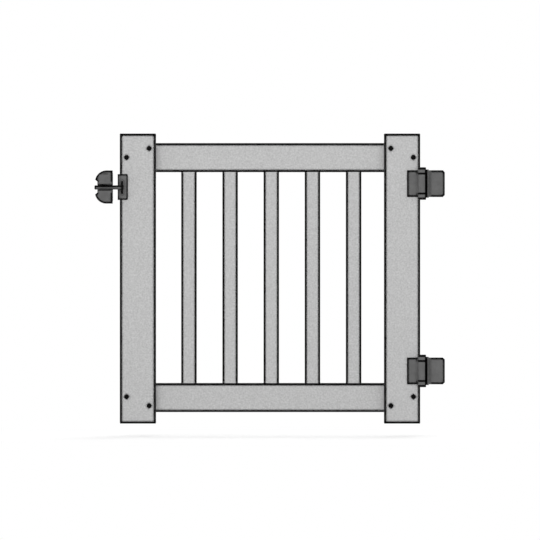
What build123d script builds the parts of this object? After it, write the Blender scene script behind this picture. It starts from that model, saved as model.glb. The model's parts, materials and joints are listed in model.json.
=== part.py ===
"""A grey board gate for a railing, with two self-closing barrel hinges and a drop latch.

Sizes are in millimetres. X runs along the gate from latch to hinges, Y runs away from the viewer, Z is up.
The origin is the middle of the lower hinge's screw holes, on the face that lies against the hinge post.
"""

from math import atan2, cos, pi, sin
import os

from build123d import *

# Gate boards
GATE_WIDTH = 932.0
GATE_HEIGHT = 900.0
STILE_WIDTH = 112.0
STILE_THICKNESS = 38.0
RAIL_HEIGHT = 90.0
RAIL_THICKNESS = 48.0
TOP_RAIL_DROP = 29.0  # top of the stiles down to the top rail
BOTTOM_RAIL_RISE = 35.0  # bottom of the stiles up to the bottom rail
BALUSTER_COUNT = 5
BALUSTER_SIZE = 48.0
BALUSTER_PITCH = 128.0
BALUSTER_SHIFT = 4.0  # middle of the row, right of the gate's middle
BOARD_EDGE_RADIUS = 3.0
END_EASE = 0.5  # how much less the ends of a board are rounded than its long edges

# Gaps between the gate and its two posts
HINGE_GAP = 26.0
LATCH_GAP = 26.0

# Face screws: two at each corner of the gate
FACE_SCREW_INSET = 21.0  # in from the stile's edges
FACE_SCREW_EDGE = 17.0  # in from the rail's outer edge, for the inner screw
LOWER_SCREW_LIFT = 3.5  # how much further the lower screws sit from that edge
FACE_HEAD_RADIUS = 7.4
FACE_HEAD_HEIGHT = 3.2
FACE_SHANK_RADIUS = 3.0
FACE_SCREW_LENGTH = 72.0
FACE_DRIVE_RADIUS = 2.6

# Screws through the rails into the balusters, and the plugs over them
BALUSTER_HEAD_RADIUS = 5.0
BALUSTER_HEAD_HEIGHT = 3.0
BALUSTER_SHANK_RADIUS = 2.5
BALUSTER_SCREW_BITE = 38.0  # length inside the baluster
BALUSTER_DRIVE_RADIUS = 2.2
PLUG_RADIUS = 6.0
PLUG_LENGTH = 22.0

# Countersunk screws of the hinges and the striker
EDGE_HEAD_RADIUS = 5.0
EDGE_SHANK_RADIUS = 2.5
EDGE_SCREW_LENGTH = 48.0
EDGE_DRIVE_RADIUS = 2.0

# Countersunk screws of the latch covers
COVER_HEAD_RADIUS = 3.6
COVER_SHANK_RADIUS = 1.8
COVER_SCREW_LENGTH = 18.0
COVER_DRIVE_RADIUS = 1.5
COVER_SCREW_EDGE = 9.0  # in from a cover's edges
COVER_SCREW_DROP = 13.5  # below the throat

SCREW_POINT = 5.0  # length of the pointed end
SCREW_TIP = 0.4  # radius of its blunt tip
DRIVE_DEPTH = 2.0  # depth of the hexagon in a head
SCREW_FIT = 0.1  # round a screw or a plug
HEAD_LIP = 0.4  # straight rim of a countersunk head
HEAD_FLAT = 0.6  # flat top of a round head, as a share of its radius
HEAD_RIM = 0.35  # straight rim of a round head, as a share of its height
CUT_OVERRUN = 1.0  # how far a cut runs past the face that it opens

# Hinges
LOWER_HINGE_HEIGHT = 163.5  # gate bottom up to the middle of the lower hinge
UPPER_HINGE_CLEAR = 32.6  # from a face screw's head down to the upper hinge
BARREL_RADIUS = 12.5
BARREL_MIDDLE = 59.0  # height of the part that turns with the gate
KNUCKLE_HEIGHT = 10.2
CAP_HEIGHT = 6.5
CAP_EDGE = 1.2
KNUCKLE_GAP = 4.0  # between the middle and each end knuckle
LEAF_HEIGHT = 83.0
LEAF_THICKNESS = 5.0
LEAF_CHAMFER = 6.0
LEAF_CORNER = 2.0
GATE_LEAF_REACH = 41.0  # onto the stile's face
POST_LEAF_REACH = 50.2  # onto the post's face
SPINE_DEPTH = 20.0  # of the post leaf's upright spine, front to back
SPINE_GAP = 4.0  # of the groove between the barrel and the spine
SPINE_LIP = 4.0  # reach of the lip behind the barrel that closes the groove
FLANGE_THICKNESS = 4.0
POST_FLANGE_DEPTH = 40.0
GATE_FLANGE_DEPTH = 34.0
GATE_HOLE_SPACING_Y = 16.0
GATE_HOLE_SPACING_Z = 40.0
POST_HOLE_RADIUS = 2.75
POST_SINK_RADIUS = 5.0
POST_HOLE_SPACING_Y = 20.0
POST_HOLE_SPACING_Z = 50.0
TURN_GAP = 0.7  # round the turning middle
PIN_RADIUS = 4.0
PIN_FIT = 0.05
STEM_WALL = 1.0  # of the tension adjuster, outside the spring's leg
STEM_REACH = 12.0  # into the middle of the barrel
STEM_FIT = 0.06
CAP_LIFT = 0.3  # between the adjuster's head and its knuckle
ADJUSTER_DRIVE_RADIUS = 5.0
ADJUSTER_DRIVE_DEPTH = 3.0
BUSH_WALL = 1.2
BUSH_LENGTH = 9.0
BUSH_RUN = 0.05  # between a bush's flange and the knuckle beside it
BUSH_FLANGE_INSET = 1.1  # inside the barrel's outline
BUSH_FIT = 0.03
SPIGOT_RADIUS = 7.0  # of the bottom cap, inside its knuckle
SPIGOT_LENGTH = 4.0
SPRING_GAP = 0.65  # round the pin
SPRING_WIRE = 2.2
SPRING_TURNS = 8
SPRING_BEND = 2.4
SPRING_LEG = 4.0
SPRING_LEG_FIT = 0.15
LEG_ROOM = 1.0  # past the end of a leg in its hole

# Striker on the latch stile
STRIKER_CLEAR = 44.6  # from a face screw's head down to the striker
BAR_RADIUS = 6.5
BAR_FRONT = 20.0  # middle of the bar, in front of the gate's face
BAR_REACH = 52.0  # past the latch post's edge
BAR_NOSE = 1.5
BAR_FIT = 0.05
RIVET_RADIUS = 7.3
RIVET_LENGTH = 2.5
RIVET_RIM = 1.0
STRIKER_THICKNESS = 4.0
STRIKER_WIDTH = 25.0  # on the stile's face
STRIKER_FLANGE = 6.5
STRIKER_DEPTH = 34.0  # along the stile's edge
STRIKER_UP = 41.5
STRIKER_DOWN = 38.5
STRIKER_CORNER = 4.0
STRIKER_HOLE_SPACING_Y = 16.0
STRIKER_HOLE_SPACING_Z = 46.0
WEB_INSET = 4.2
WEB_THICKNESS = 6.0
WEB_HEIGHT = 39.6
WEB_CHAMFER = 9.0
WEB_MARGIN = 3.0  # of metal in front of the bar

# Latch on the other post
LATCH_UP = 52.4  # top of the latch above the bar
LATCH_DOWN = 50.0
LATCH_SHORT = 2.0  # of the bar's end
LATCH_TOP_CORNER = 36.0
LATCH_LOW_CORNER = 34.0
LATCH_BASE = 6.0
LATCH_FLANGE = 4.0
LATCH_FLANGE_DEPTH = 40.0
LATCH_FLANGE_MARGIN = 8.0
LATCH_HOLE_SPACING_Y = 20.0
LATCH_HOLE_SPACING_Z = 60.0
LATCH_EDGE = 1.2
LATCH_WALL = 4.5
LATCH_TOP_WALL = 9.0  # over the lifted tongue
THROAT_ABOVE = 1.0  # clear height over the bar
THROAT_BELOW = 0.5
THROAT_BEHIND = 0.3
MOUTH_HEIGHT = 2.0
MOUTH_DEPTH = 6.0
SCOOP_DEPTH = 7.5
SCOOP_ABOVE = 24.1  # upper end of the finger scoop, above the bar's middle
SCOOP_BELOW = 22.0
SCOOP_RAMP = 6.0  # height of its sloped ends
SCOOP_CORNER = 3.0
PAD_INSET = 1.0  # of the pad behind the bar, inside the scoop

# Drop tongue, shown lifted
TONGUE_WIDTH = 16.0
TONGUE_THICKNESS = 12.0
TONGUE_TRAVEL = 14.0
TONGUE_OVERLAP = 4.0  # below the bar's middle when dropped
TONGUE_TIP = 2.8
TONGUE_RAMP = 13.0
TONGUE_LEFT = 16.0  # right side of the tongue, left of the post's edge
TONGUE_BEHIND = 1.0  # clear of the bar
TONGUE_FIT = 0.4
HOOK_REACH = 3.0  # of the shoulder that stops the tongue's drop
HOOK_HEIGHT = 6.0
HOOK_REST = 0.2  # left under the shoulder when it is down
TAB_HEIGHT = 8.0
TAB_THICKNESS = 7.0
TAB_RISE = 12.0  # above the tongue's lower end
TAB_INSET = 5.0  # short of the latch's left side
TAB_EDGE = 1.5

# Sizes and places that follow from the sizes
BOARD_END_RADIUS = BOARD_EDGE_RADIUS - END_EASE
FACE_SCREW_ROOM = TOP_RAIL_DROP + RAIL_HEIGHT / 2 + FACE_HEAD_RADIUS
UPPER_HINGE_DROP = FACE_SCREW_ROOM + UPPER_HINGE_CLEAR + LEAF_HEIGHT / 2
HINGE_SPACING = GATE_HEIGHT - LOWER_HINGE_HEIGHT - UPPER_HINGE_DROP
HINGE_AXIS_FRONT = BARREL_RADIUS + TURN_GAP
HINGE_AXIS_OUT = HINGE_GAP - FLANGE_THICKNESS - SPINE_GAP - BARREL_RADIUS
BUSH_FLANGE = KNUCKLE_GAP - BUSH_RUN
BAR_HEIGHT = GATE_HEIGHT - FACE_SCREW_ROOM - STRIKER_CLEAR - STRIKER_UP
SPRING_RADIUS = PIN_RADIUS + SPRING_GAP + SPRING_WIRE / 2
STEM_RADIUS = SPRING_RADIUS + SPRING_WIRE / 2 + SPRING_LEG_FIT + STEM_WALL
BUSH_FLANGE_RADIUS = BARREL_RADIUS - BUSH_FLANGE_INSET
POST_X = 0.0
FACE_Y = -POST_FLANGE_DEPTH / 2
GATE_RIGHT = POST_X - HINGE_GAP
GATE_LEFT = GATE_RIGHT - GATE_WIDTH
LATCH_X = GATE_LEFT - LATCH_GAP
LATCH_LEFT = LATCH_SHORT - BAR_REACH
STILE_BACK = FACE_Y + STILE_THICKNESS
RAIL_BACK = STILE_BACK + RAIL_THICKNESS
RAIL_MIDDLE_Y = STILE_BACK + RAIL_THICKNESS / 2
GATE_BOTTOM = -LOWER_HINGE_HEIGHT
GATE_TOP = GATE_BOTTOM + GATE_HEIGHT
TOP_RAIL_TOP = GATE_TOP - TOP_RAIL_DROP
TOP_RAIL_BOTTOM = TOP_RAIL_TOP - RAIL_HEIGHT
BOTTOM_RAIL_BOTTOM = GATE_BOTTOM + BOTTOM_RAIL_RISE
BOTTOM_RAIL_TOP = BOTTOM_RAIL_BOTTOM + RAIL_HEIGHT
AXIS_X = GATE_RIGHT + HINGE_AXIS_OUT
AXIS_Y = FACE_Y - HINGE_AXIS_FRONT
BAR_Z = GATE_BOTTOM + BAR_HEIGHT
BAR_Y = FACE_Y - BAR_FRONT
BUSH_BORE = STEM_RADIUS + STEM_FIT
BUSH_RADIUS = BUSH_BORE + BUSH_WALL
BALUSTER_X = [
    (GATE_LEFT + GATE_RIGHT) / 2 + BALUSTER_SHIFT + (i - (BALUSTER_COUNT - 1) / 2) * BALUSTER_PITCH
    for i in range(BALUSTER_COUNT)
]

os.makedirs("parts", exist_ok=True)


def save(builder, label):
    builder.part.label = label
    export_step(builder.part, f"parts/{label}.step")
    print(label, len(builder.part.solids()), round(builder.part.volume))


def block(x0, x1, y0, y1, z0, z1, mode=Mode.ADD):
    with Locations(((x0 + x1) / 2, (y0 + y1) / 2, (z0 + z1) / 2)):
        Box(x1 - x0, y1 - y0, z1 - z0, mode=mode)


def rod(start, direction, radius, length, mode=Mode.ADD):
    with BuildSketch(Plane(origin=start, z_dir=direction)) as disc:
        Circle(radius)
    extrude(disc.sketch, amount=length, mode=mode)


def front_plane(y, x=0.0, z=0.0):
    """A drawing plane that faces the viewer: its own x and y are the gate's X and Z."""
    return Plane(origin=(x, y, z), x_dir=(1, 0, 0), z_dir=(0, -1, 0))


def turned(start, direction, points, mode):
    """A solid of revolution: points are (radius, distance along direction)."""
    along = Vector(*direction)
    side = Vector(0, 0, 1) if abs(along.Z) < 0.5 else Vector(1, 0, 0)
    with BuildSketch(Plane(origin=start, x_dir=side, z_dir=side.cross(along))) as half:
        with BuildLine():
            Polyline(*points, close=True)
        make_face()
    revolve(half.sketch, axis=Axis(start, direction), mode=mode)


def drive(start, direction, radius, depth=DRIVE_DEPTH):
    """The hexagon that a key turns, cut into a head whose top is at start."""
    with BuildSketch(Plane(origin=start, z_dir=direction)) as hexagon:
        RegularPolygon(radius, 6)
    extrude(hexagon.sketch, amount=depth, mode=Mode.SUBTRACT)


def pan_screw(seat, direction, head, height, shank, length, key):
    """A screw with a low round head that sits on a face."""
    points = [
        (0, -height),
        (head * HEAD_FLAT, -height),
        (head, -height * HEAD_RIM),
        (head, 0),
        (shank, 0),
        (shank, length - SCREW_POINT),
        (SCREW_TIP, length),
        (0, length),
    ]
    turned(seat, direction, points, Mode.ADD)
    top = Vector(*seat) - Vector(*direction) * height
    drive(top, direction, key)


def pan_hole(seat, direction, shank, length):
    wide = shank + SCREW_FIT
    points = [
        (0, -CUT_OVERRUN),
        (wide, -CUT_OVERRUN),
        (wide, length - SCREW_POINT + SCREW_FIT),
        (SCREW_TIP + SCREW_FIT, length + 2 * SCREW_FIT),
        (0, length + 2 * SCREW_FIT),
    ]
    turned(seat, direction, points, Mode.SUBTRACT)


def sunk_screw(seat, direction, head, shank, length, key):
    """A countersunk screw that lies flush with the face at seat."""
    points = [
        (0, 0),
        (head, 0),
        (head, HEAD_LIP),
        (shank, HEAD_LIP + head - shank),
        (shank, length - SCREW_POINT),
        (SCREW_TIP, length),
        (0, length),
    ]
    turned(seat, direction, points, Mode.ADD)
    drive(seat, direction, key)


def sunk_hole(seat, direction, head, shank, length):
    wide = head + SCREW_FIT
    narrow = shank + SCREW_FIT
    points = [
        (0, -CUT_OVERRUN),
        (wide, -CUT_OVERRUN),
        (wide, HEAD_LIP + SCREW_FIT),
        (narrow, HEAD_LIP + SCREW_FIT + wide - narrow),
        (narrow, length - SCREW_POINT + SCREW_FIT),
        (SCREW_TIP + SCREW_FIT, length + 2 * SCREW_FIT),
        (0, length + 2 * SCREW_FIT),
    ]
    turned(seat, direction, points, Mode.SUBTRACT)


def grid(centre_y, centre_z, spacing_y, spacing_z):
    """Four (y, z) places at the corners of a rectangle."""
    return [
        (centre_y + i * spacing_y / 2, centre_z + j * spacing_z / 2)
        for i in (-1, 1)
        for j in (-1, 1)
    ]


def round_ends(builder, axis):
    """Round the edges at both ends of a board that runs along an axis."""
    loops = builder.edges().group_by(axis)
    fillet(loops[0] + loops[-1], BOARD_END_RADIUS)


# The two stiles and the face screws that hold them to the rails
INWARD = (0, 1, 0)


def face_screw_places(left):
    """The inner screw of each pair sits near the rail's outer edge and the outer one near its middle."""
    outer = left + FACE_SCREW_INSET
    inner = left + STILE_WIDTH - FACE_SCREW_INSET
    if left > (GATE_LEFT + GATE_RIGHT) / 2:
        outer, inner = inner, outer
    return [
        (inner, TOP_RAIL_TOP - FACE_SCREW_EDGE),
        (outer, TOP_RAIL_TOP - RAIL_HEIGHT / 2),
        (outer, BOTTOM_RAIL_BOTTOM + RAIL_HEIGHT / 2 + LOWER_SCREW_LIFT),
        (inner, BOTTOM_RAIL_BOTTOM + FACE_SCREW_EDGE + LOWER_SCREW_LIFT),
    ]


STILE_LEFTS = {"latch": GATE_LEFT, "hinge": GATE_RIGHT - STILE_WIDTH}
FACE_SCREWS = {side: face_screw_places(left) for side, left in STILE_LEFTS.items()}
HINGES = {"upper": HINGE_SPACING, "lower": 0.0}
GATE_FLANGE_HOLES = {
    name: grid(FACE_Y + GATE_FLANGE_DEPTH / 2, z, GATE_HOLE_SPACING_Y, GATE_HOLE_SPACING_Z)
    for name, z in HINGES.items()
}
STRIKER_HOLES = grid(
    FACE_Y + STRIKER_DEPTH / 2,
    BAR_Z + (STRIKER_UP - STRIKER_DOWN) / 2,
    STRIKER_HOLE_SPACING_Y,
    STRIKER_HOLE_SPACING_Z,
)


def edge_holes(side):
    """The screws in a stile's edge: seat, direction for each."""
    if side == "latch":
        seat = GATE_LEFT - STRIKER_FLANGE
        return [((seat, y, z), (1, 0, 0)) for y, z in STRIKER_HOLES]
    seat = GATE_RIGHT + FLANGE_THICKNESS
    places = GATE_FLANGE_HOLES["upper"] + GATE_FLANGE_HOLES["lower"]
    return [((seat, y, z), (-1, 0, 0)) for y, z in places]


for side, left in STILE_LEFTS.items():
    with BuildPart() as stile:
        middle = (left + STILE_WIDTH / 2, FACE_Y + STILE_THICKNESS / 2, GATE_BOTTOM)
        with BuildSketch(Plane(origin=middle)):
            RectangleRounded(STILE_WIDTH, STILE_THICKNESS, BOARD_EDGE_RADIUS)
        extrude(amount=GATE_HEIGHT)
        round_ends(stile, Axis.Z)
        for x, z in FACE_SCREWS[side]:
            pan_hole((x, FACE_Y, z), INWARD, FACE_SHANK_RADIUS, FACE_SCREW_LENGTH)
        for seat, direction in edge_holes(side):
            sunk_hole(seat, direction, EDGE_HEAD_RADIUS, EDGE_SHANK_RADIUS, EDGE_SCREW_LENGTH)
    save(stile, f"{side}_stile")

    with BuildPart() as face_screws:
        for x, z in FACE_SCREWS[side]:
            pan_screw(
                (x, FACE_Y, z),
                INWARD,
                FACE_HEAD_RADIUS,
                FACE_HEAD_HEIGHT,
                FACE_SHANK_RADIUS,
                FACE_SCREW_LENGTH,
                FACE_DRIVE_RADIUS,
            )
    save(face_screws, f"{side}_stile_screws")

# The two rails, behind the stiles, with the screws and plugs that hold the balusters
RAILS = {
    "top": (TOP_RAIL_BOTTOM, TOP_RAIL_TOP, (0, 0, -1)),
    "bottom": (BOTTOM_RAIL_TOP, BOTTOM_RAIL_BOTTOM, (0, 0, 1)),
}
HEAD_SEAT = PLUG_LENGTH + BALUSTER_HEAD_HEIGHT
BALUSTER_SCREW_LENGTH = RAIL_HEIGHT - HEAD_SEAT + BALUSTER_SCREW_BITE


def baluster_seats(name):
    """Where the heads of one rail's baluster screws sit, deep in the rail."""
    inner, outer, toward = RAILS[name]
    return [(x, RAIL_MIDDLE_Y, outer + toward[2] * HEAD_SEAT) for x in BALUSTER_X]


for name, (inner, outer, toward) in RAILS.items():
    with BuildPart() as rail:
        middle = (GATE_LEFT, RAIL_MIDDLE_Y, (inner + outer) / 2)
        with BuildSketch(Plane(origin=middle, x_dir=(0, 1, 0), z_dir=(1, 0, 0))):
            RectangleRounded(RAIL_THICKNESS, RAIL_HEIGHT, BOARD_EDGE_RADIUS)
        extrude(amount=GATE_WIDTH)
        round_ends(rail, Axis.X)
        for side in STILE_LEFTS:
            for x, z in FACE_SCREWS[side]:
                pan_hole((x, FACE_Y, z), INWARD, FACE_SHANK_RADIUS, FACE_SCREW_LENGTH)
        for seat in baluster_seats(name):
            mouth = (seat[0], seat[1], outer)
            rod(mouth, toward, PLUG_RADIUS + SCREW_FIT, HEAD_SEAT, Mode.SUBTRACT)
            pan_hole(seat, toward, BALUSTER_SHANK_RADIUS, BALUSTER_SCREW_LENGTH)
    save(rail, f"{name}_rail")

    with BuildPart() as rail_screws:
        for seat in baluster_seats(name):
            pan_screw(
                seat,
                toward,
                BALUSTER_HEAD_RADIUS,
                BALUSTER_HEAD_HEIGHT,
                BALUSTER_SHANK_RADIUS,
                BALUSTER_SCREW_LENGTH,
                BALUSTER_DRIVE_RADIUS,
            )
    save(rail_screws, f"{name}_baluster_screws")

    with BuildPart() as plugs:
        for x in BALUSTER_X:
            rod((x, RAIL_MIDDLE_Y, outer), toward, PLUG_RADIUS, PLUG_LENGTH)
    save(plugs, f"{name}_rail_plugs")

for i, x in enumerate(BALUSTER_X):
    with BuildPart() as baluster:
        with BuildSketch(Plane(origin=(x, RAIL_MIDDLE_Y, BOTTOM_RAIL_TOP))):
            RectangleRounded(BALUSTER_SIZE, BALUSTER_SIZE, BOARD_EDGE_RADIUS)
        extrude(amount=TOP_RAIL_BOTTOM - BOTTOM_RAIL_TOP)
        for name, (inner, outer, toward) in RAILS.items():
            seat = baluster_seats(name)[i]
            pan_hole(seat, toward, BALUSTER_SHANK_RADIUS, BALUSTER_SCREW_LENGTH)
    save(baluster, f"baluster_{i + 1}")


# The hinges
UP = (0, 0, 1)
DOWN = (0, 0, -1)
HALF_MIDDLE = BARREL_MIDDLE / 2
KNUCKLE_START = HALF_MIDDLE + KNUCKLE_GAP
KNUCKLE_END = KNUCKLE_START + KNUCKLE_HEIGHT
LEAF_FRONT = FACE_Y - LEAF_THICKNESS
SPINE_LEFT = AXIS_X + BARREL_RADIUS + SPINE_GAP
NOTCH_X = AXIS_X - BARREL_RADIUS - TURN_GAP
SPRING_LOW = -HALF_MIDDLE + BUSH_LENGTH + SPRING_WIRE / 2 + SPRING_BEND
SPRING_HIGH = HALF_MIDDLE - STEM_REACH - SPRING_WIRE / 2 - SPRING_BEND
QUARTERS = SPRING_TURNS * 4
QUARTER_RISE = (SPRING_HIGH - SPRING_LOW) / QUARTERS
# The slope at which one quarter-turn arc runs on smoothly into the next
SPRING_SLOPE = atan2(QUARTER_RISE * cos(pi / 4), 2 * SPRING_RADIUS * sin(pi / 4))


def spring_point(i, middle):
    turn = i * pi / 2
    x = AXIS_X + SPRING_RADIUS * cos(turn)
    y = AXIS_Y + SPRING_RADIUS * sin(turn)
    return Vector(x, y, middle + SPRING_LOW + i * QUARTER_RISE)


def spring_ahead(i):
    turn = i * pi / 2
    return Vector(-sin(turn), cos(turn), 0)


def spring_leg(i, middle, sign):
    """Where the bend at one end of the spring turns into the upright leg."""
    ahead = spring_ahead(i)
    upward = Vector(0, 0, 1) * cos(SPRING_SLOPE) - ahead * sin(SPRING_SLOPE)
    return spring_point(i, middle) + (upward + ahead) * (SPRING_BEND * sign)


for name, middle in HINGES.items():
    axis_at = (AXIS_X, AXIS_Y, middle)
    low_leg = spring_leg(0, middle, -1)
    high_leg = spring_leg(QUARTERS, middle, 1)
    leg_hole = SPRING_WIRE / 2 + SPRING_LEG_FIT

    # The gate leaf: a plate on the stile's face, a flange on its edge and the middle of the barrel
    with BuildPart() as gate_leaf:
        with BuildSketch(front_plane(FACE_Y)):
            left = GATE_RIGHT - GATE_LEAF_REACH
            with Locations(((left + NOTCH_X) / 2, middle)):
                RectangleRounded(NOTCH_X - left, LEAF_HEIGHT, LEAF_CORNER)
            with Locations(((left + AXIS_X) / 2 + LEAF_CORNER, middle)):
                Rectangle(AXIS_X - left - 2 * LEAF_CORNER, BARREL_MIDDLE)
        extrude(amount=LEAF_THICKNESS)
        rod((AXIS_X, AXIS_Y, middle - HALF_MIDDLE), UP, BARREL_RADIUS, BARREL_MIDDLE)
        block(
            GATE_RIGHT,
            GATE_RIGHT + FLANGE_THICKNESS,
            LEAF_FRONT,
            FACE_Y + GATE_FLANGE_DEPTH,
            middle - HALF_MIDDLE,
            middle + HALF_MIDDLE,
        )
        bore = BUSH_RADIUS + BUSH_FIT
        rod((AXIS_X, AXIS_Y, middle - HALF_MIDDLE), UP, bore, BARREL_MIDDLE, Mode.SUBTRACT)
        for y, z in GATE_FLANGE_HOLES[name]:
            seat = (GATE_RIGHT + FLANGE_THICKNESS, y, z)
            sunk_hole(seat, (-1, 0, 0), EDGE_HEAD_RADIUS, EDGE_SHANK_RADIUS, EDGE_SCREW_LENGTH)
    save(gate_leaf, f"{name}_gate_leaf")

    with BuildPart() as leaf_screws:
        for y, z in GATE_FLANGE_HOLES[name]:
            seat = (GATE_RIGHT + FLANGE_THICKNESS, y, z)
            sunk_screw(
                seat,
                (-1, 0, 0),
                EDGE_HEAD_RADIUS,
                EDGE_SHANK_RADIUS,
                EDGE_SCREW_LENGTH,
                EDGE_DRIVE_RADIUS,
            )
    save(leaf_screws, f"{name}_leaf_screws")

    # The post leaf: a plate on the post's face, a flange on its edge, two knuckles, and an upright spine
    # with a lip behind the barrel
    with BuildPart() as post_leaf:
        with BuildSketch(front_plane(FACE_Y)):
            right = POST_X + POST_LEAF_REACH
            low = middle - LEAF_HEIGHT / 2
            high = middle + LEAF_HEIGHT / 2
            with BuildLine():
                Polyline(
                    (SPINE_LEFT, low),
                    (right - LEAF_CHAMFER, low),
                    (right, low + LEAF_CHAMFER),
                    (right, high - LEAF_CHAMFER),
                    (right - LEAF_CHAMFER, high),
                    (SPINE_LEFT, high),
                    close=True,
                )
            make_face()
        extrude(amount=LEAF_THICKNESS)
        block(
            SPINE_LEFT,
            POST_X,
            FACE_Y - SPINE_DEPTH,
            FACE_Y,
            middle - KNUCKLE_END,
            middle + KNUCKLE_END,
        )
        block(
            POST_X - FLANGE_THICKNESS,
            POST_X,
            LEAF_FRONT,
            FACE_Y + POST_FLANGE_DEPTH,
            middle - LEAF_HEIGHT / 2,
            middle + LEAF_HEIGHT / 2,
        )
        block(
            SPINE_LEFT - SPINE_GAP - SPINE_LIP,
            SPINE_LEFT + TURN_GAP,
            FACE_Y - TURN_GAP,
            FACE_Y + FLANGE_THICKNESS,
            middle - KNUCKLE_END,
            middle + KNUCKLE_END,
        )
        for start in (middle - KNUCKLE_END, middle + KNUCKLE_START):
            rod((AXIS_X, AXIS_Y, start), UP, BARREL_RADIUS, KNUCKLE_HEIGHT)
            block(
                AXIS_X,
                SPINE_LEFT + TURN_GAP,
                AXIS_Y,
                FACE_Y,
                start,
                start + KNUCKLE_HEIGHT,
            )
        top_knuckle = (AXIS_X, AXIS_Y, middle + KNUCKLE_START)
        rod(top_knuckle, UP, STEM_RADIUS + STEM_FIT, KNUCKLE_HEIGHT, Mode.SUBTRACT)
        low_knuckle = (AXIS_X, AXIS_Y, middle - KNUCKLE_END)
        rod(low_knuckle, UP, PIN_RADIUS + PIN_FIT, KNUCKLE_HEIGHT, Mode.SUBTRACT)
        rod(low_knuckle, UP, SPIGOT_RADIUS + BUSH_FIT, SPIGOT_LENGTH, Mode.SUBTRACT)
        sink = POST_SINK_RADIUS - POST_HOLE_RADIUS
        for y, z in grid(FACE_Y + POST_FLANGE_DEPTH / 2, middle, POST_HOLE_SPACING_Y, POST_HOLE_SPACING_Z):
            points = [
                (0, -CUT_OVERRUN),
                (POST_SINK_RADIUS, -CUT_OVERRUN),
                (POST_SINK_RADIUS, 0),
                (POST_HOLE_RADIUS, sink),
                (POST_HOLE_RADIUS, FLANGE_THICKNESS + CUT_OVERRUN),
                (0, FLANGE_THICKNESS + CUT_OVERRUN),
            ]
            turned((POST_X - FLANGE_THICKNESS, y, z), (1, 0, 0), points, Mode.SUBTRACT)
    save(post_leaf, f"{name}_post_leaf")

    with BuildPart() as pin:
        foot = middle - KNUCKLE_END + SPIGOT_LENGTH
        rod((AXIS_X, AXIS_Y, foot), UP, PIN_RADIUS, middle + KNUCKLE_END - foot)
    save(pin, f"{name}_hinge_pin")

    # Bushes line both ends of the barrel; the bottom one holds the lower leg of the spring
    with BuildPart() as top_bush:
        rod((AXIS_X, AXIS_Y, middle + HALF_MIDDLE), DOWN, BUSH_RADIUS, BUSH_LENGTH)
        rod((AXIS_X, AXIS_Y, middle + HALF_MIDDLE), UP, BUSH_FLANGE_RADIUS, BUSH_FLANGE)
        high = (AXIS_X, AXIS_Y, middle + HALF_MIDDLE + BUSH_FLANGE)
        rod(high, DOWN, BUSH_BORE, BUSH_LENGTH + BUSH_FLANGE, Mode.SUBTRACT)
    save(top_bush, f"{name}_top_bush")

    with BuildPart() as bottom_bush:
        rod((AXIS_X, AXIS_Y, middle - HALF_MIDDLE), UP, BUSH_RADIUS, BUSH_LENGTH)
        rod((AXIS_X, AXIS_Y, middle - HALF_MIDDLE), DOWN, BUSH_FLANGE_RADIUS, BUSH_FLANGE)
        low = (AXIS_X, AXIS_Y, middle - HALF_MIDDLE - BUSH_FLANGE)
        rod(low, UP, PIN_RADIUS + PIN_FIT, BUSH_LENGTH + BUSH_FLANGE, Mode.SUBTRACT)
        hole_top = (low_leg.X, low_leg.Y, middle - HALF_MIDDLE + BUSH_LENGTH)
        rod(hole_top, DOWN, leg_hole, SPRING_LEG + LEG_ROOM, Mode.SUBTRACT)
    save(bottom_bush, f"{name}_bottom_bush")

    with BuildPart() as adjuster:
        foot = (AXIS_X, AXIS_Y, middle + HALF_MIDDLE - STEM_REACH)
        cap_low = middle + KNUCKLE_END + CAP_LIFT
        rod(foot, UP, STEM_RADIUS, cap_low - foot[2])
        points = [
            (0, 0),
            (BARREL_RADIUS, 0),
            (BARREL_RADIUS, CAP_HEIGHT - CAP_EDGE),
            (BARREL_RADIUS - CAP_EDGE, CAP_HEIGHT),
            (0, CAP_HEIGHT),
        ]
        turned((AXIS_X, AXIS_Y, cap_low), UP, points, Mode.ADD)
        pin_room = middle + KNUCKLE_END + CAP_LIFT - foot[2]
        rod(foot, UP, PIN_RADIUS + PIN_FIT, pin_room, Mode.SUBTRACT)
        rod((high_leg.X, high_leg.Y, foot[2]), UP, leg_hole, SPRING_LEG + LEG_ROOM, Mode.SUBTRACT)
        key_top = (AXIS_X, AXIS_Y, cap_low + CAP_HEIGHT)
        drive(key_top, DOWN, ADJUSTER_DRIVE_RADIUS, ADJUSTER_DRIVE_DEPTH)
    save(adjuster, f"{name}_tension_adjuster")

    with BuildPart() as bottom_cap:
        points = [
            (0, -SPIGOT_LENGTH),
            (SPIGOT_RADIUS, -SPIGOT_LENGTH),
            (SPIGOT_RADIUS, 0),
            (BARREL_RADIUS, 0),
            (BARREL_RADIUS, CAP_HEIGHT - CAP_EDGE),
            (BARREL_RADIUS - CAP_EDGE, CAP_HEIGHT),
            (0, CAP_HEIGHT),
        ]
        turned((AXIS_X, AXIS_Y, middle - KNUCKLE_END), DOWN, points, Mode.ADD)
    save(bottom_cap, f"{name}_bottom_cap")

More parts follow.
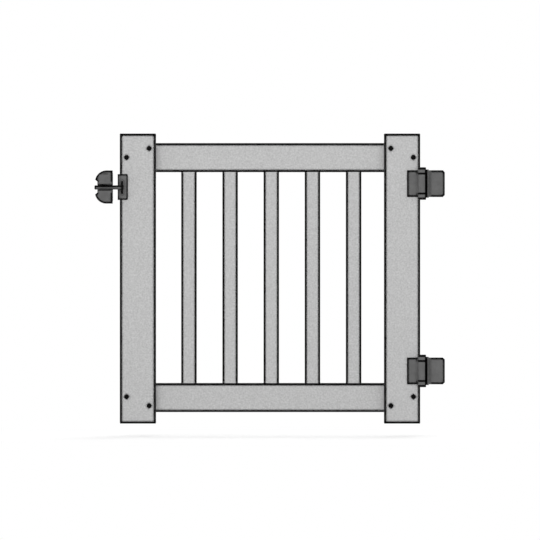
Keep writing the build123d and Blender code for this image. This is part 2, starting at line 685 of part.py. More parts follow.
    # The closing spring: a coil of quarter-turn arcs with an upright leg at each end
    with BuildPart() as spring:
        with BuildLine() as wire:
            leg = Vector(0, 0, SPRING_LEG)
            reach = Vector(0, 0, SPRING_WIRE / 2)
            Line(low_leg - leg - reach, low_leg)
            TangentArc(low_leg, spring_point(0, middle), tangent=Vector(0, 0, 1))
            for i in range(QUARTERS):
                tangent = spring_ahead(i) * cos(SPRING_SLOPE) + Vector(0, 0, 1) * sin(SPRING_SLOPE)
                TangentArc(spring_point(i, middle), spring_point(i + 1, middle), tangent=tangent)
            tangent = spring_ahead(QUARTERS) * cos(SPRING_SLOPE) + Vector(0, 0, 1) * sin(SPRING_SLOPE)
            TangentArc(spring_point(QUARTERS, middle), high_leg, tangent=tangent)
            Line(high_leg, high_leg + leg + reach)
        with BuildSketch(Plane(origin=low_leg - leg - reach)):
            Circle(SPRING_WIRE / 2)
        sweep()
    save(spring, f"{name}_closing_spring")


# The striker: an angle bracket on the latch stile with an upright web that carries the bar
WEB_LEFT = GATE_LEFT + WEB_INSET
WEB_RIGHT = WEB_LEFT + WEB_THICKNESS
BRACKET_FRONT = FACE_Y - STRIKER_THICKNESS

with BuildPart() as striker_bracket:
    with BuildSketch(front_plane(FACE_Y)):
        left = GATE_LEFT - STRIKER_FLANGE
        right = GATE_LEFT + STRIKER_WIDTH
        low = BAR_Z - STRIKER_DOWN
        high = BAR_Z + STRIKER_UP
        with BuildLine():
            Polyline(
                (right - STRIKER_CORNER, high),
                (left, high),
                (left, low),
                (right - STRIKER_CORNER, low),
            )
            RadiusArc((right - STRIKER_CORNER, low), (right, low + STRIKER_CORNER), -STRIKER_CORNER)
            Line((right, low + STRIKER_CORNER), (right, high - STRIKER_CORNER))
            RadiusArc((right, high - STRIKER_CORNER), (right - STRIKER_CORNER, high), -STRIKER_CORNER)
        make_face()
    extrude(amount=STRIKER_THICKNESS)
    block(GATE_LEFT - STRIKER_FLANGE, GATE_LEFT, FACE_Y, FACE_Y + STRIKER_DEPTH, low, high)
    web_front = BAR_Y - BAR_RADIUS - WEB_MARGIN
    with BuildSketch(Plane(origin=(WEB_LEFT, 0, BAR_Z), x_dir=(0, 1, 0), z_dir=(1, 0, 0))):
        with BuildLine():
            half = WEB_HEIGHT / 2
            Polyline(
                (BRACKET_FRONT, -half),
                (BRACKET_FRONT, half),
                (web_front + WEB_CHAMFER, half),
                (web_front, half - WEB_CHAMFER),
                (web_front, WEB_CHAMFER - half),
                (web_front + WEB_CHAMFER, -half),
                close=True,
            )
        make_face()
    extrude(amount=WEB_THICKNESS)
    rod((WEB_LEFT, BAR_Y, BAR_Z), (1, 0, 0), BAR_RADIUS + BAR_FIT, WEB_THICKNESS, Mode.SUBTRACT)
    for y, z in STRIKER_HOLES:
        seat = (GATE_LEFT - STRIKER_FLANGE, y, z)
        sunk_hole(seat, (1, 0, 0), EDGE_HEAD_RADIUS, EDGE_SHANK_RADIUS, EDGE_SCREW_LENGTH)
save(striker_bracket, "striker_bracket")

with BuildPart() as striker_bar:
    length = WEB_RIGHT - (LATCH_X - BAR_REACH)
    points = [
        (0, -RIVET_LENGTH),
        (RIVET_RADIUS * HEAD_FLAT, -RIVET_LENGTH),
        (RIVET_RADIUS, -RIVET_RIM),
        (RIVET_RADIUS, 0),
        (BAR_RADIUS, 0),
        (BAR_RADIUS, length - BAR_NOSE),
        (BAR_RADIUS - BAR_NOSE, length),
        (0, length),
    ]
    turned((WEB_RIGHT, BAR_Y, BAR_Z), (-1, 0, 0), points, Mode.ADD)
save(striker_bar, "striker_bar")

with BuildPart() as striker_screws:
    for y, z in STRIKER_HOLES:
        seat = (GATE_LEFT - STRIKER_FLANGE, y, z)
        sunk_screw(
            seat,
            (1, 0, 0),
            EDGE_HEAD_RADIUS,
            EDGE_SHANK_RADIUS,
            EDGE_SCREW_LENGTH,
            EDGE_DRIVE_RADIUS,
        )
save(striker_screws, "striker_screws")


# The latch: a base on the post, two covers with a throat between them, and the drop tongue
BAR_BACK_Y = BAR_Y + BAR_RADIUS
THROAT_BACK_Y = BAR_BACK_Y + THROAT_BEHIND
THROAT_TOP = BAR_RADIUS + THROAT_ABOVE
THROAT_BOTTOM = -BAR_RADIUS - THROAT_BELOW
BASE_FRONT_Y = FACE_Y - LATCH_BASE
TONGUE_BACK_Y = BAR_Y - BAR_RADIUS - TONGUE_BEHIND
TONGUE_FRONT_Y = TONGUE_BACK_Y - TONGUE_THICKNESS
COVER_FRONT_Y = TONGUE_FRONT_Y - TONGUE_FIT - LATCH_WALL
COVER_DEPTH = BASE_FRONT_Y - COVER_FRONT_Y
SCOOP_X = LATCH_LEFT + SCOOP_DEPTH
TONGUE_FOOT = TONGUE_TRAVEL - TONGUE_OVERLAP
TONGUE_HEAD = LATCH_UP - LATCH_TOP_WALL - TONGUE_FIT
TAB_MIDDLE_Y = (TONGUE_FRONT_Y + TONGUE_BACK_Y) / 2
COVER_SCREWS = [
    (LATCH_FLANGE - COVER_SCREW_EDGE, THROAT_TOP + COVER_SCREW_EDGE),
    (LATCH_FLANGE - COVER_SCREW_EDGE, LATCH_UP - COVER_SCREW_EDGE),
    (LATCH_FLANGE - COVER_SCREW_EDGE, THROAT_BOTTOM - COVER_SCREW_DROP),
    (SCOOP_X + COVER_SCREW_EDGE, THROAT_BOTTOM - COVER_SCREW_DROP),
]


def latch_plane(y):
    """A drawing plane that faces the viewer, with its zero at the post's edge and the bar's height."""
    return front_plane(y, LATCH_X, BAR_Z)


def finger_scoop():
    """The notch in the latch's left side; its sloped ends run on past that side."""
    with BuildSketch() as notch:
        with BuildLine():
            Polyline(
                (SCOOP_X, SCOOP_ABOVE - SCOOP_RAMP),
                (SCOOP_X - 2 * SCOOP_DEPTH, SCOOP_ABOVE + SCOOP_RAMP),
                (SCOOP_X - 2 * SCOOP_DEPTH, -SCOOP_BELOW - SCOOP_RAMP),
                (SCOOP_X, -SCOOP_BELOW + SCOOP_RAMP),
                close=True,
            )
        make_face()
        fillet(notch.vertices().group_by(Axis.X)[-1], SCOOP_CORNER)
    return notch.sketch


def latch_outline(y, low, high):
    """The rounded outline of the latch between two heights, with the finger scoop in its left side."""
    with BuildSketch(latch_plane(y)) as outline:
        with BuildLine():
            Polyline(
                (LATCH_LEFT + LATCH_TOP_CORNER, LATCH_UP),
                (LATCH_FLANGE, LATCH_UP),
                (LATCH_FLANGE, -LATCH_DOWN),
                (LATCH_LEFT + LATCH_LOW_CORNER, -LATCH_DOWN),
            )
            RadiusArc(
                (LATCH_LEFT + LATCH_LOW_CORNER, -LATCH_DOWN),
                (LATCH_LEFT, -LATCH_DOWN + LATCH_LOW_CORNER),
                LATCH_LOW_CORNER,
            )
            side_low = (LATCH_LEFT, -LATCH_DOWN + LATCH_LOW_CORNER)
            side_high = (LATCH_LEFT, LATCH_UP - LATCH_TOP_CORNER)
            Line(side_low, side_high)
            RadiusArc(
                side_high,
                (LATCH_LEFT + LATCH_TOP_CORNER, LATCH_UP),
                LATCH_TOP_CORNER,
            )
        make_face()
        add(finger_scoop(), mode=Mode.SUBTRACT)
        with Locations((0, (low + high) / 2)):
            Rectangle(4 * BAR_REACH, high - low, mode=Mode.INTERSECT)
    return outline.sketch


def latch_hole_places():
    middle = (LATCH_UP - LATCH_DOWN) / 2
    return grid(
        FACE_Y + LATCH_FLANGE_DEPTH / 2,
        BAR_Z + middle,
        LATCH_HOLE_SPACING_Y,
        LATCH_HOLE_SPACING_Z,
    )


def cover_seat(place):
    return (LATCH_X + place[0], FACE_Y, BAR_Z + place[1])


def at_latch(x0, x1, y0, y1, z0, z1, mode=Mode.ADD):
    block(LATCH_X + x0, LATCH_X + x1, y0, y1, BAR_Z + z0, BAR_Z + z1, mode)


with BuildPart() as latch_base:
    extrude(latch_outline(FACE_Y, -LATCH_DOWN, LATCH_UP), amount=LATCH_BASE)
    pad_left = SCOOP_X + PAD_INSET
    at_latch(pad_left, LATCH_FLANGE, THROAT_BACK_Y, BASE_FRONT_Y, THROAT_BOTTOM, THROAT_TOP)
    at_latch(
        0,
        LATCH_FLANGE,
        FACE_Y - LATCH_BASE,
        FACE_Y + LATCH_FLANGE_DEPTH,
        LATCH_FLANGE_MARGIN - LATCH_DOWN,
        LATCH_UP - LATCH_FLANGE_MARGIN,
    )
    sink = POST_SINK_RADIUS - POST_HOLE_RADIUS
    for y, z in latch_hole_places():
        points = [
            (0, -CUT_OVERRUN),
            (POST_SINK_RADIUS, -CUT_OVERRUN),
            (POST_SINK_RADIUS, 0),
            (POST_HOLE_RADIUS, sink),
            (POST_HOLE_RADIUS, LATCH_FLANGE + CUT_OVERRUN),
            (0, LATCH_FLANGE + CUT_OVERRUN),
        ]
        turned((LATCH_X + LATCH_FLANGE, y, z), (-1, 0, 0), points, Mode.SUBTRACT)
    for place in COVER_SCREWS:
        sunk_hole(cover_seat(place), (0, -1, 0), COVER_HEAD_RADIUS, COVER_SHANK_RADIUS, COVER_SCREW_LENGTH)
save(latch_base, "latch_base")


def mouth_cut(edge, sign):
    """The flare that guides the bar into the throat, cut along one cover's front edge."""
    right = (LATCH_X + LATCH_FLANGE, 0, BAR_Z)
    with BuildSketch(Plane(origin=right, x_dir=(0, 1, 0), z_dir=(-1, 0, 0))) as flare:
        with BuildLine():
            # On this plane the second coordinate runs downward
            Polyline(
                (COVER_FRONT_Y, -edge),
                (COVER_FRONT_Y, -edge - sign * MOUTH_HEIGHT),
                (COVER_FRONT_Y + MOUTH_DEPTH, -edge),
                close=True,
            )
        make_face()
    extrude(flare.sketch, amount=LATCH_FLANGE + BAR_REACH, mode=Mode.SUBTRACT)


def soften_front(builder, edge):
    """Round the front edges of a cover, except the one along the throat."""
    front = builder.faces().sort_by(Axis.Y)[0]
    keep = [e for e in front.edges() if abs(e.center().Z - BAR_Z - edge) > 1]
    fillet(keep, LATCH_EDGE)


with BuildPart() as upper_cover:
    extrude(latch_outline(BASE_FRONT_Y, THROAT_TOP, LATCH_UP), amount=COVER_DEPTH)
    soften_front(upper_cover, THROAT_TOP)
    mouth_cut(THROAT_TOP, 1)
    at_latch(
        -TONGUE_LEFT - TONGUE_WIDTH - TONGUE_FIT,
        -TONGUE_LEFT + TONGUE_FIT,
        TONGUE_FRONT_Y - TONGUE_FIT,
        TONGUE_BACK_Y + TONGUE_FIT,
        0,
        TONGUE_HEAD + TONGUE_FIT,
        Mode.SUBTRACT,
    )
    at_latch(
        -TONGUE_LEFT,
        -TONGUE_LEFT + HOOK_REACH + TONGUE_FIT,
        TONGUE_FRONT_Y - TONGUE_FIT,
        TONGUE_BACK_Y + TONGUE_FIT,
        TONGUE_HEAD - HOOK_HEIGHT - TONGUE_TRAVEL - HOOK_REST,
        TONGUE_HEAD + TONGUE_FIT,
        Mode.SUBTRACT,
    )
    at_latch(
        LATCH_LEFT - CUT_OVERRUN,
        -TONGUE_LEFT - TONGUE_WIDTH / 2,
        TAB_MIDDLE_Y - TAB_THICKNESS / 2 - TONGUE_FIT,
        TAB_MIDDLE_Y + TAB_THICKNESS / 2 + TONGUE_FIT,
        0,
        TONGUE_FOOT + TAB_RISE + TAB_HEIGHT + TONGUE_FIT,
        Mode.SUBTRACT,
    )
    for place in COVER_SCREWS[:2]:
        sunk_hole(cover_seat(place), (0, -1, 0), COVER_HEAD_RADIUS, COVER_SHANK_RADIUS, COVER_SCREW_LENGTH)
save(upper_cover, "latch_upper_cover")

with BuildPart() as lower_cover:
    extrude(latch_outline(BASE_FRONT_Y, -LATCH_DOWN, THROAT_BOTTOM), amount=COVER_DEPTH)
    soften_front(lower_cover, THROAT_BOTTOM)
    mouth_cut(THROAT_BOTTOM, -1)
    for place in COVER_SCREWS[2:]:
        sunk_hole(cover_seat(place), (0, -1, 0), COVER_HEAD_RADIUS, COVER_SHANK_RADIUS, COVER_SCREW_LENGTH)
save(lower_cover, "latch_lower_cover")

with BuildPart() as cover_screws:
    for place in COVER_SCREWS:
        sunk_screw(
            cover_seat(place),
            (0, -1, 0),
            COVER_HEAD_RADIUS,
            COVER_SHANK_RADIUS,
            COVER_SCREW_LENGTH,
            COVER_DRIVE_RADIUS,
        )
save(cover_screws, "latch_cover_screws")

with BuildPart() as tongue:
    right = LATCH_X - TONGUE_LEFT
    with BuildSketch(Plane(origin=(right, 0, BAR_Z), x_dir=(0, 1, 0), z_dir=(-1, 0, 0))):
        with BuildLine():
            # On this plane the second coordinate runs downward
            Polyline(
                (TONGUE_BACK_Y, -TONGUE_FOOT),
                (TONGUE_BACK_Y, -TONGUE_HEAD),
                (TONGUE_FRONT_Y, -TONGUE_HEAD),
                (TONGUE_FRONT_Y, -TONGUE_FOOT - TONGUE_RAMP),
                (TONGUE_BACK_Y - TONGUE_TIP, -TONGUE_FOOT),
                close=True,
            )
        make_face()
    extrude(amount=TONGUE_WIDTH)
    at_latch(
        -TONGUE_LEFT,
        -TONGUE_LEFT + HOOK_REACH,
        TONGUE_FRONT_Y,
        TONGUE_BACK_Y,
        TONGUE_HEAD - HOOK_HEIGHT,
        TONGUE_HEAD,
    )
    at_latch(
        LATCH_LEFT + TAB_INSET,
        -TONGUE_LEFT - TONGUE_WIDTH / 2,
        TAB_MIDDLE_Y - TAB_THICKNESS / 2,
        TAB_MIDDLE_Y + TAB_THICKNESS / 2,
        TONGUE_FOOT + TAB_RISE,
        TONGUE_FOOT + TAB_RISE + TAB_HEIGHT,
    )
    tip = tongue.faces().sort_by(Axis.X)[0]
    fillet(tip.edges(), TAB_EDGE)
save(tongue, "latch_tongue")
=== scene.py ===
# %% [markdown]
# # A grey board gate with self-closing hinges and a drop latch
# The CAD model already holds every piece of this gate in its place, in metres, with X along the
# gate, Y away from the viewer and Z up. Blender's share is the looks: finishes with real detail,
# finer screws and balusters, light and a camera. We load the CAD pieces first and measure their
# box, because nothing that is added later may reach out of it.

# %% Load the CAD pieces
import json
import math

import bmesh
import bpy
import numpy as np
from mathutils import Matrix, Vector

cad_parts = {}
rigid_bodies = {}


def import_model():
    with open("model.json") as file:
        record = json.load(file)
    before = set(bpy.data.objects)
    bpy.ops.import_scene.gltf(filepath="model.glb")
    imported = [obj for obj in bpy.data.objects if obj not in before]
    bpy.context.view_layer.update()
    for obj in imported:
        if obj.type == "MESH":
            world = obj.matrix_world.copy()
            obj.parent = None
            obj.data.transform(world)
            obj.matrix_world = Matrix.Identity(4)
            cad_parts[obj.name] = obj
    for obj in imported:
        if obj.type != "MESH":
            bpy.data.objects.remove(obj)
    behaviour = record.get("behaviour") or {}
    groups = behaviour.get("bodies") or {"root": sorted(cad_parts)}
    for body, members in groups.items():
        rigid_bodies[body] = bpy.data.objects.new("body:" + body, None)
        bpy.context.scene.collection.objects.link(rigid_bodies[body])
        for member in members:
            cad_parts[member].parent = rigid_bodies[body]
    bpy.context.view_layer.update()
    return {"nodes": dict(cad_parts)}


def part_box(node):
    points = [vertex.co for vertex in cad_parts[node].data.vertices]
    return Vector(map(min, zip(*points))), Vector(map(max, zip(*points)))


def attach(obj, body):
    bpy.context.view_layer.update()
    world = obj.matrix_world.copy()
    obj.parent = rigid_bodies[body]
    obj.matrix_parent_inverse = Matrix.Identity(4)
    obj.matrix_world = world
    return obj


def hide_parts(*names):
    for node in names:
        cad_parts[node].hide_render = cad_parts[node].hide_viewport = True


for leftover in list(bpy.data.objects):
    bpy.data.objects.remove(leftover)
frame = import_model()
nodes = frame["nodes"]


def in_mm(*lengths):
    return [round(1000 * length, 1) for length in lengths]


# %% [markdown]
# ## The camera
# The picture is a straight-on elevation with no vanishing point. An orthographic camera would
# give that, but a very long lens far away does too, and other views of the scene can then turn it
# round the gate like any other camera. Three numbers read off the picture fix it: the gate's
# width in pixels, its middle and its lowest edge.

# %% Aim the camera
PICTURE_SIDE = 540.0  # pixels
GATE_PIXELS = 300.4  # width of the gate in the picture
GATE_MIDDLE_PIXEL = 270.0
GATE_BOTTOM_PIXEL = 423.6
LENS = 500.0  # mm
SENSOR = 36.0  # mm
SIGHT = 200.0  # metres, farther than anything here

gate_low = Vector(map(min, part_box("latch_stile")[0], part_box("hinge_stile")[0]))
gate_high = Vector(map(max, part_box("latch_stile")[1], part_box("hinge_stile")[1]))
pixel = (gate_high.x - gate_low.x) / GATE_PIXELS
distance = PICTURE_SIDE * pixel * LENS / SENSOR
aim_x = (gate_low.x + gate_high.x) / 2 + (PICTURE_SIDE / 2 - GATE_MIDDLE_PIXEL) * pixel
aim_z = gate_low.z + (GATE_BOTTOM_PIXEL - PICTURE_SIDE / 2) * pixel

camera = bpy.data.objects.new("camera", bpy.data.cameras.new("camera"))
camera.data.lens = LENS
camera.data.sensor_width = SENSOR
camera.data.clip_end = SIGHT
camera.location = (aim_x, gate_low.y - distance, aim_z)
camera.rotation_euler = (math.pi / 2, 0, 0)
bpy.context.scene.collection.objects.link(camera)
bpy.context.scene.camera = camera
print("one pixel is", round(1000 * pixel, 3), "mm")
print("the camera stands", round(distance, 2), "m away")

# %% [markdown]
# ## Building finishes from nodes
# Every finish here is a Principled shader fed by noise on Object coordinates. The pieces all sit
# at the origin with their place in their mesh, so Object coordinates are metres in the gate's own
# frame, and a noise scale of 100 simply means a pattern about 10 mm across. Pictures wrapped
# round the pieces would do too, but they show seams and get coarse up close. A few small helpers
# keep each finish readable.

# %% Helpers for nodes
MIX_SHARE, MIX_FIRST, MIX_SECOND, MIX_RESULT = 0, 6, 7, 2  # sockets of a Mix node for colours


def add_node(tree, kind, values=None, **settings):
    """A node of one kind, with its settings and the values on its sockets."""
    node = tree.nodes.new(kind)
    for key, value in settings.items():
        setattr(node, key, value)
    for socket, value in (values or {}).items():
        node.inputs[socket].default_value = value
    return node


def feed(tree, socket, value):
    """Put a plain number or colour on a socket, or link another socket to it."""
    if isinstance(value, (int, float, tuple)):
        socket.default_value = value
    else:
        tree.links.new(value, socket)


def add_math(tree, operation, first, second):
    node = add_node(tree, "ShaderNodeMath", operation=operation)
    feed(tree, node.inputs[0], first)
    feed(tree, node.inputs[1], second)
    return node.outputs[0]


def add_vector_math(tree, operation, first, second=None):
    """Arithmetic on vectors; a length or a dot product leaves as a plain number."""
    node = add_node(tree, "ShaderNodeVectorMath", operation=operation)
    feed(tree, node.inputs[0], first)
    if second is not None:
        feed(tree, node.inputs[1], second)
    return node.outputs["Value" if operation in ("LENGTH", "DOT_PRODUCT") else "Vector"]


def add_range(tree, value, low, high, to_low=0.0, to_high=1.0):
    """Carry the span from low to high over to another span, and hold it at the ends."""
    values = {"From Min": low, "From Max": high, "To Min": to_low, "To Max": to_high}
    node = add_node(tree, "ShaderNodeMapRange", values)
    tree.links.new(value, node.inputs["Value"])
    return node.outputs[0]


def add_blend(tree, share, first, second):
    """Mix two colours, each a plain colour or an output socket."""
    node = add_node(tree, "ShaderNodeMix", data_type="RGBA")
    tree.links.new(share, node.inputs[MIX_SHARE])
    feed(tree, node.inputs[MIX_FIRST], first)
    feed(tree, node.inputs[MIX_SECOND], second)
    return node.outputs[MIX_RESULT]


def part_of(tree, vector, axis):
    """One of the three parts of a vector."""
    parts = add_node(tree, "ShaderNodeSeparateXYZ")
    tree.links.new(vector, parts.inputs[0])
    return parts.outputs[axis]


# %% Helpers for finishes
NOISE_SPAN = (0.3, 0.7)  # nearly all of a noise lies between these


def grey(level):
    """A grey as it reads in a picture, from 0 to 255, as a linear colour by the sRGB formula."""
    value = level / 255
    linear = ((value + 0.055) / 1.055) ** 2.4 if value > 0.04045 else value / 12.92
    return (linear, linear, linear, 1.0)


def new_finish(name, specular=0.5, metallic=0.0):
    """A material with one Principled shader. Returns it, its tree, its shader and the place."""
    finish = bpy.data.materials.new(name)
    finish.use_nodes = True
    tree = finish.node_tree
    shader = next(n for n in tree.nodes if n.type == "BSDF_PRINCIPLED")
    shader.inputs["Specular IOR Level"].default_value = specular
    shader.inputs["Metallic"].default_value = metallic
    place = add_node(tree, "ShaderNodeTexCoord").outputs["Object"]
    return finish, tree, shader, place


def add_noise(tree, place, scale, detail=2.0):
    noise = add_node(tree, "ShaderNodeTexNoise", {"Scale": scale, "Detail": detail})
    tree.links.new(place, noise.inputs["Vector"])
    return noise.outputs[0]


def add_streaks(tree, place, stretch):
    """A noise drawn out along a piece; stretch is the streaks per metre along each axis."""
    run = add_node(tree, "ShaderNodeMapping", {"Scale": stretch})
    tree.links.new(place, run.inputs[0])
    return add_noise(tree, run.outputs[0], 1.0, detail=3.0)


def drifting_grey(tree, noise, level, drift):
    """A grey that wanders with a noise, by so many levels either way."""
    tone = add_range(tree, noise, *NOISE_SPAN)
    return add_blend(tree, tone, grey(level - drift), grey(level + drift))


def add_roughness(tree, shader, noise, low, high):
    tree.links.new(add_range(tree, noise, *NOISE_SPAN, low, high), shader.inputs["Roughness"])


def add_bump(tree, shader, height, strength, depth):
    """Dents that only the light sees; depth is in metres."""
    bump = add_node(tree, "ShaderNodeBump", {"Strength": strength, "Distance": depth})
    tree.links.new(height, bump.inputs["Height"])
    tree.links.new(bump.outputs[0], shader.inputs["Normal"])


def dress(wearers):
    """Give CAD pieces their finishes."""
    for piece, finish in wearers.items():
        nodes[piece].data.materials[0] = finish
        print(piece, "wears", finish.name)


print("a picture grey of 190 is", round(grey(190)[0], 3), "in linear light")

# %% [markdown]
# ## Painted dark edges
# Every outer edge of this gate gets a painted dark line a few millimetres wide: painted shade
# along the edges, on the boards, the metal and the polymer alike. The Bevel node averages the
# surface's normal over a small radius, as if the edge were rounded. Where that average turns away
# from the face's own normal there is an edge close by. An inner corner gets no line, so there an
# Ambient Occlusion node, which is low in corners, takes the line away. On a board, whose faces all
# lie square to the axes, we look at the largest part of the averaged normal instead, because that
# also finds the middle of an edge that is really rounded.

# %% Find edges
EDGE_SAMPLES = 16
EDGE_NONE = 0.9955  # agreement with the face at which the line begins
EDGE_FULL = 0.987  # and at which it is fully dark
BOARD_EDGE_NONE = 0.996  # the same on a board, where the line is crisper
BOARD_EDGE_FULL = 0.989
ALL_AXES = (1.0, 1.0, 1.0)
CORNER_SAMPLES = 8
CORNER_REACH = 0.012  # metres
CORNER_NONE = 0.95  # open share of the sky over an outer edge
CORNER_FULL = 0.75  # and in an inner corner


def soft_normal(tree, reach):
    """The averaged normal; reach is a length, or a socket that gives one."""
    bevel = add_node(tree, "ShaderNodeBevel", samples=EDGE_SAMPLES)
    feed(tree, bevel.inputs["Radius"], reach)
    return bevel.outputs[0]


def square_edges(tree, reach, counted=ALL_AXES):
    """1 along the edges of a piece that lies square to the axes.

    At the ends of an axis that isn't counted there is no line.
    """
    own_frame = {"vector_type": "NORMAL", "convert_from": "WORLD", "convert_to": "OBJECT"}
    turned = add_node(tree, "ShaderNodeVectorTransform", **own_frame)
    tree.links.new(soft_normal(tree, reach), turned.inputs[0])
    kept = add_vector_math(tree, "MULTIPLY", turned.outputs[0], counted)
    sizes = add_vector_math(tree, "ABSOLUTE", add_vector_math(tree, "NORMALIZE", kept))
    x, y, z = (part_of(tree, sizes, axis) for axis in "XYZ")
    largest = add_math(tree, "MAXIMUM", add_math(tree, "MAXIMUM", x, y), z)
    return add_range(tree, largest, BOARD_EDGE_NONE, BOARD_EDGE_FULL)


def outer_edges(tree, line, place):
    """1 along the outer edges of a piece of any form, and 0 in its inner corners.

    Line is the reach of the dark line, or a function that works it out from the place.
    """
    reach = line if isinstance(line, float) else line(tree, place)
    own_normal = add_node(tree, "ShaderNodeNewGeometry").outputs["Normal"]
    agreement = add_vector_math(tree, "DOT_PRODUCT", soft_normal(tree, reach), own_normal)
    edges = add_range(tree, agreement, EDGE_NONE, EDGE_FULL)
    corner = add_node(
        tree,
        "ShaderNodeAmbientOcclusion",
        {"Distance": CORNER_REACH},
        samples=CORNER_SAMPLES,
        only_local=True,
    )
    outside = add_range(tree, corner.outputs["AO"], CORNER_FULL, CORNER_NONE)
    return add_math(tree, "MULTIPLY", edges, outside)


begin, full = (round(math.degrees(math.acos(x))) for x in (EDGE_NONE, EDGE_FULL))
print("edges darken from", begin, "to", full, "degrees")

# %% [markdown]
# ## The boards
# The gate is made of pale grey wood-plastic boards. Up close they show a soft stipple half a
# centimetre across that was pressed into the skin, faint streaks along the board from the
# extrusion, and a slow drift of tone from board to board. Each of the three is a noise at its own
# scale, which fits a board of any length. The streaks are drawn out along the board, so upright
# and level boards need a finish each.

# %% A finish for boards
MATT = 0.04  # specular level of a surface with hardly any gleam
SKIN_LIGHT = grey(204)
SKIN_DARK = grey(178)
# painted shade: the dark line painted along a board's edges
PAINTED_EDGE_SHADE = grey(5)
BOARD_LINE = 0.017  # metres over which the normal is averaged at a board's edge
SLIM_LINE = 0.013  # and on the narrow balusters
BUTTED_ENDS = (1.0, 1.0, 0.0)  # a baluster's ends stand against the rails and aren't eased
STIPPLE_PER_METRE = 210.0
STREAKS_ACROSS = 320.0  # per metre
STREAKS_ALONG = 9.0
UPRIGHT_STREAKS = (STREAKS_ACROSS, STREAKS_ACROSS, STREAKS_ALONG)
LEVEL_STREAKS = (STREAKS_ALONG, STREAKS_ACROSS, STREAKS_ACROSS)
DRIFT_PER_METRE = 3.0
STREAK_TONE = 0.1  # weights beside the stipple's 1
DRIFT_TONE = 0.05
STREAK_RELIEF = 0.6
TONE_SPAN = (0.325, 0.825)  # of the weighted sum
BOARD_ROUGHNESS = (0.56, 0.7)


def board_finish(name, stretch, line=BOARD_LINE, counted=ALL_AXES):
    """The skin of a board, streaked as stretch says, with painted shade at its edges if it has a
    line.
    """
    finish, tree, shader, place = new_finish(name, specular=MATT)
    stipple = add_noise(tree, place, STIPPLE_PER_METRE, detail=1.5)
    streaks = add_streaks(tree, place, stretch)
    drift = add_noise(tree, place, DRIFT_PER_METRE)
    tone = add_math(tree, "ADD", stipple, add_math(tree, "MULTIPLY", streaks, STREAK_TONE))
    tone = add_math(tree, "ADD", tone, add_math(tree, "MULTIPLY", drift, DRIFT_TONE))
    skin = add_blend(tree, add_range(tree, tone, *TONE_SPAN), SKIN_DARK, SKIN_LIGHT)
    # painted shade: the edges are painted dark over the skin
    if line:
        skin = add_blend(tree, square_edges(tree, line, counted), skin, PAINTED_EDGE_SHADE)
    tree.links.new(skin, shader.inputs["Base Color"])
    add_roughness(tree, shader, streaks, *BOARD_ROUGHNESS)
    relief = add_math(tree, "ADD", stipple, add_math(tree, "MULTIPLY", streaks, STREAK_RELIEF))
    add_bump(tree, shader, relief, strength=0.25, depth=0.0006)
    return finish


upright_boards = board_finish("board_upright", UPRIGHT_STREAKS)
level_boards = board_finish("board_level", LEVEL_STREAKS)
slim_boards = board_finish("board_slim", UPRIGHT_STREAKS, SLIM_LINE, BUTTED_ENDS)
dress(
    {
        "latch_stile": upright_boards,
        "hinge_stile": upright_boards,
        "top_rail": level_boards,
        "bottom_rail": level_boards,
    }
)

# %% [markdown]
# ## Five balusters in a row
# The balusters are the same bar five times at an even pitch, which is just what Geometry Nodes
# are for. The tree sweeps a rounded square up a straight line, puts it on the points of a mesh
# line, realizes the copies and gives them their finish. Its sizes are inputs with names, filled
# in from the CAD balusters, so the row lies exactly where they do.

# %% Helpers for Geometry Nodes
def new_tree(name, inputs):
    """A geometry tree with named inputs. Returns the tree, its input node and its output node."""
    tree = bpy.data.node_groups.new(name, "GeometryNodeTree")
    for label, kind in inputs.items():
        tree.interface.new_socket(label, in_out="INPUT", socket_type=kind)
    tree.interface.new_socket("Geometry", in_out="OUTPUT", socket_type="NodeSocketGeometry")
    return tree, add_node(tree, "NodeGroupInput"), add_node(tree, "NodeGroupOutput")


def coat_copies(tree, copies, given, result):
    """End a tree: realize its copies and give them the finish that was asked for."""
    solid = add_node(tree, "GeometryNodeRealizeInstances")
    tree.links.new(copies.outputs[0], solid.inputs[0])
    coated = add_node(tree, "GeometryNodeSetMaterial")
    tree.links.new(solid.outputs[0], coated.inputs["Geometry"])
    tree.links.new(given.outputs["Finish"], coated.inputs["Material"])
    tree.links.new(coated.outputs[0], result.inputs[0])


def grow(name, start, tree, values):
    """Run a tree on a start mesh and keep the result as a plain mesh."""
    piece = bpy.data.objects.new(name, start)
    bpy.context.scene.collection.objects.link(piece)
    modifier = piece.modifiers.new(tree.name, "NODES")
    modifier.node_group = tree
    for socket in tree.interface.items_tree:
        if socket.in_out == "INPUT" and socket.name in values:
            modifier[socket.identifier] = values[socket.name]
    graph = bpy.context.evaluated_depsgraph_get()
    made = bpy.data.meshes.new_from_object(piece.evaluated_get(graph))
    piece.modifiers.remove(modifier)
    piece.data = made
    made.name = name
    print(name, "has", len(made.polygons), "faces")
    return piece


# %% A tree for the balusters
EDGE_STEPS = 6  # of each rounded edge


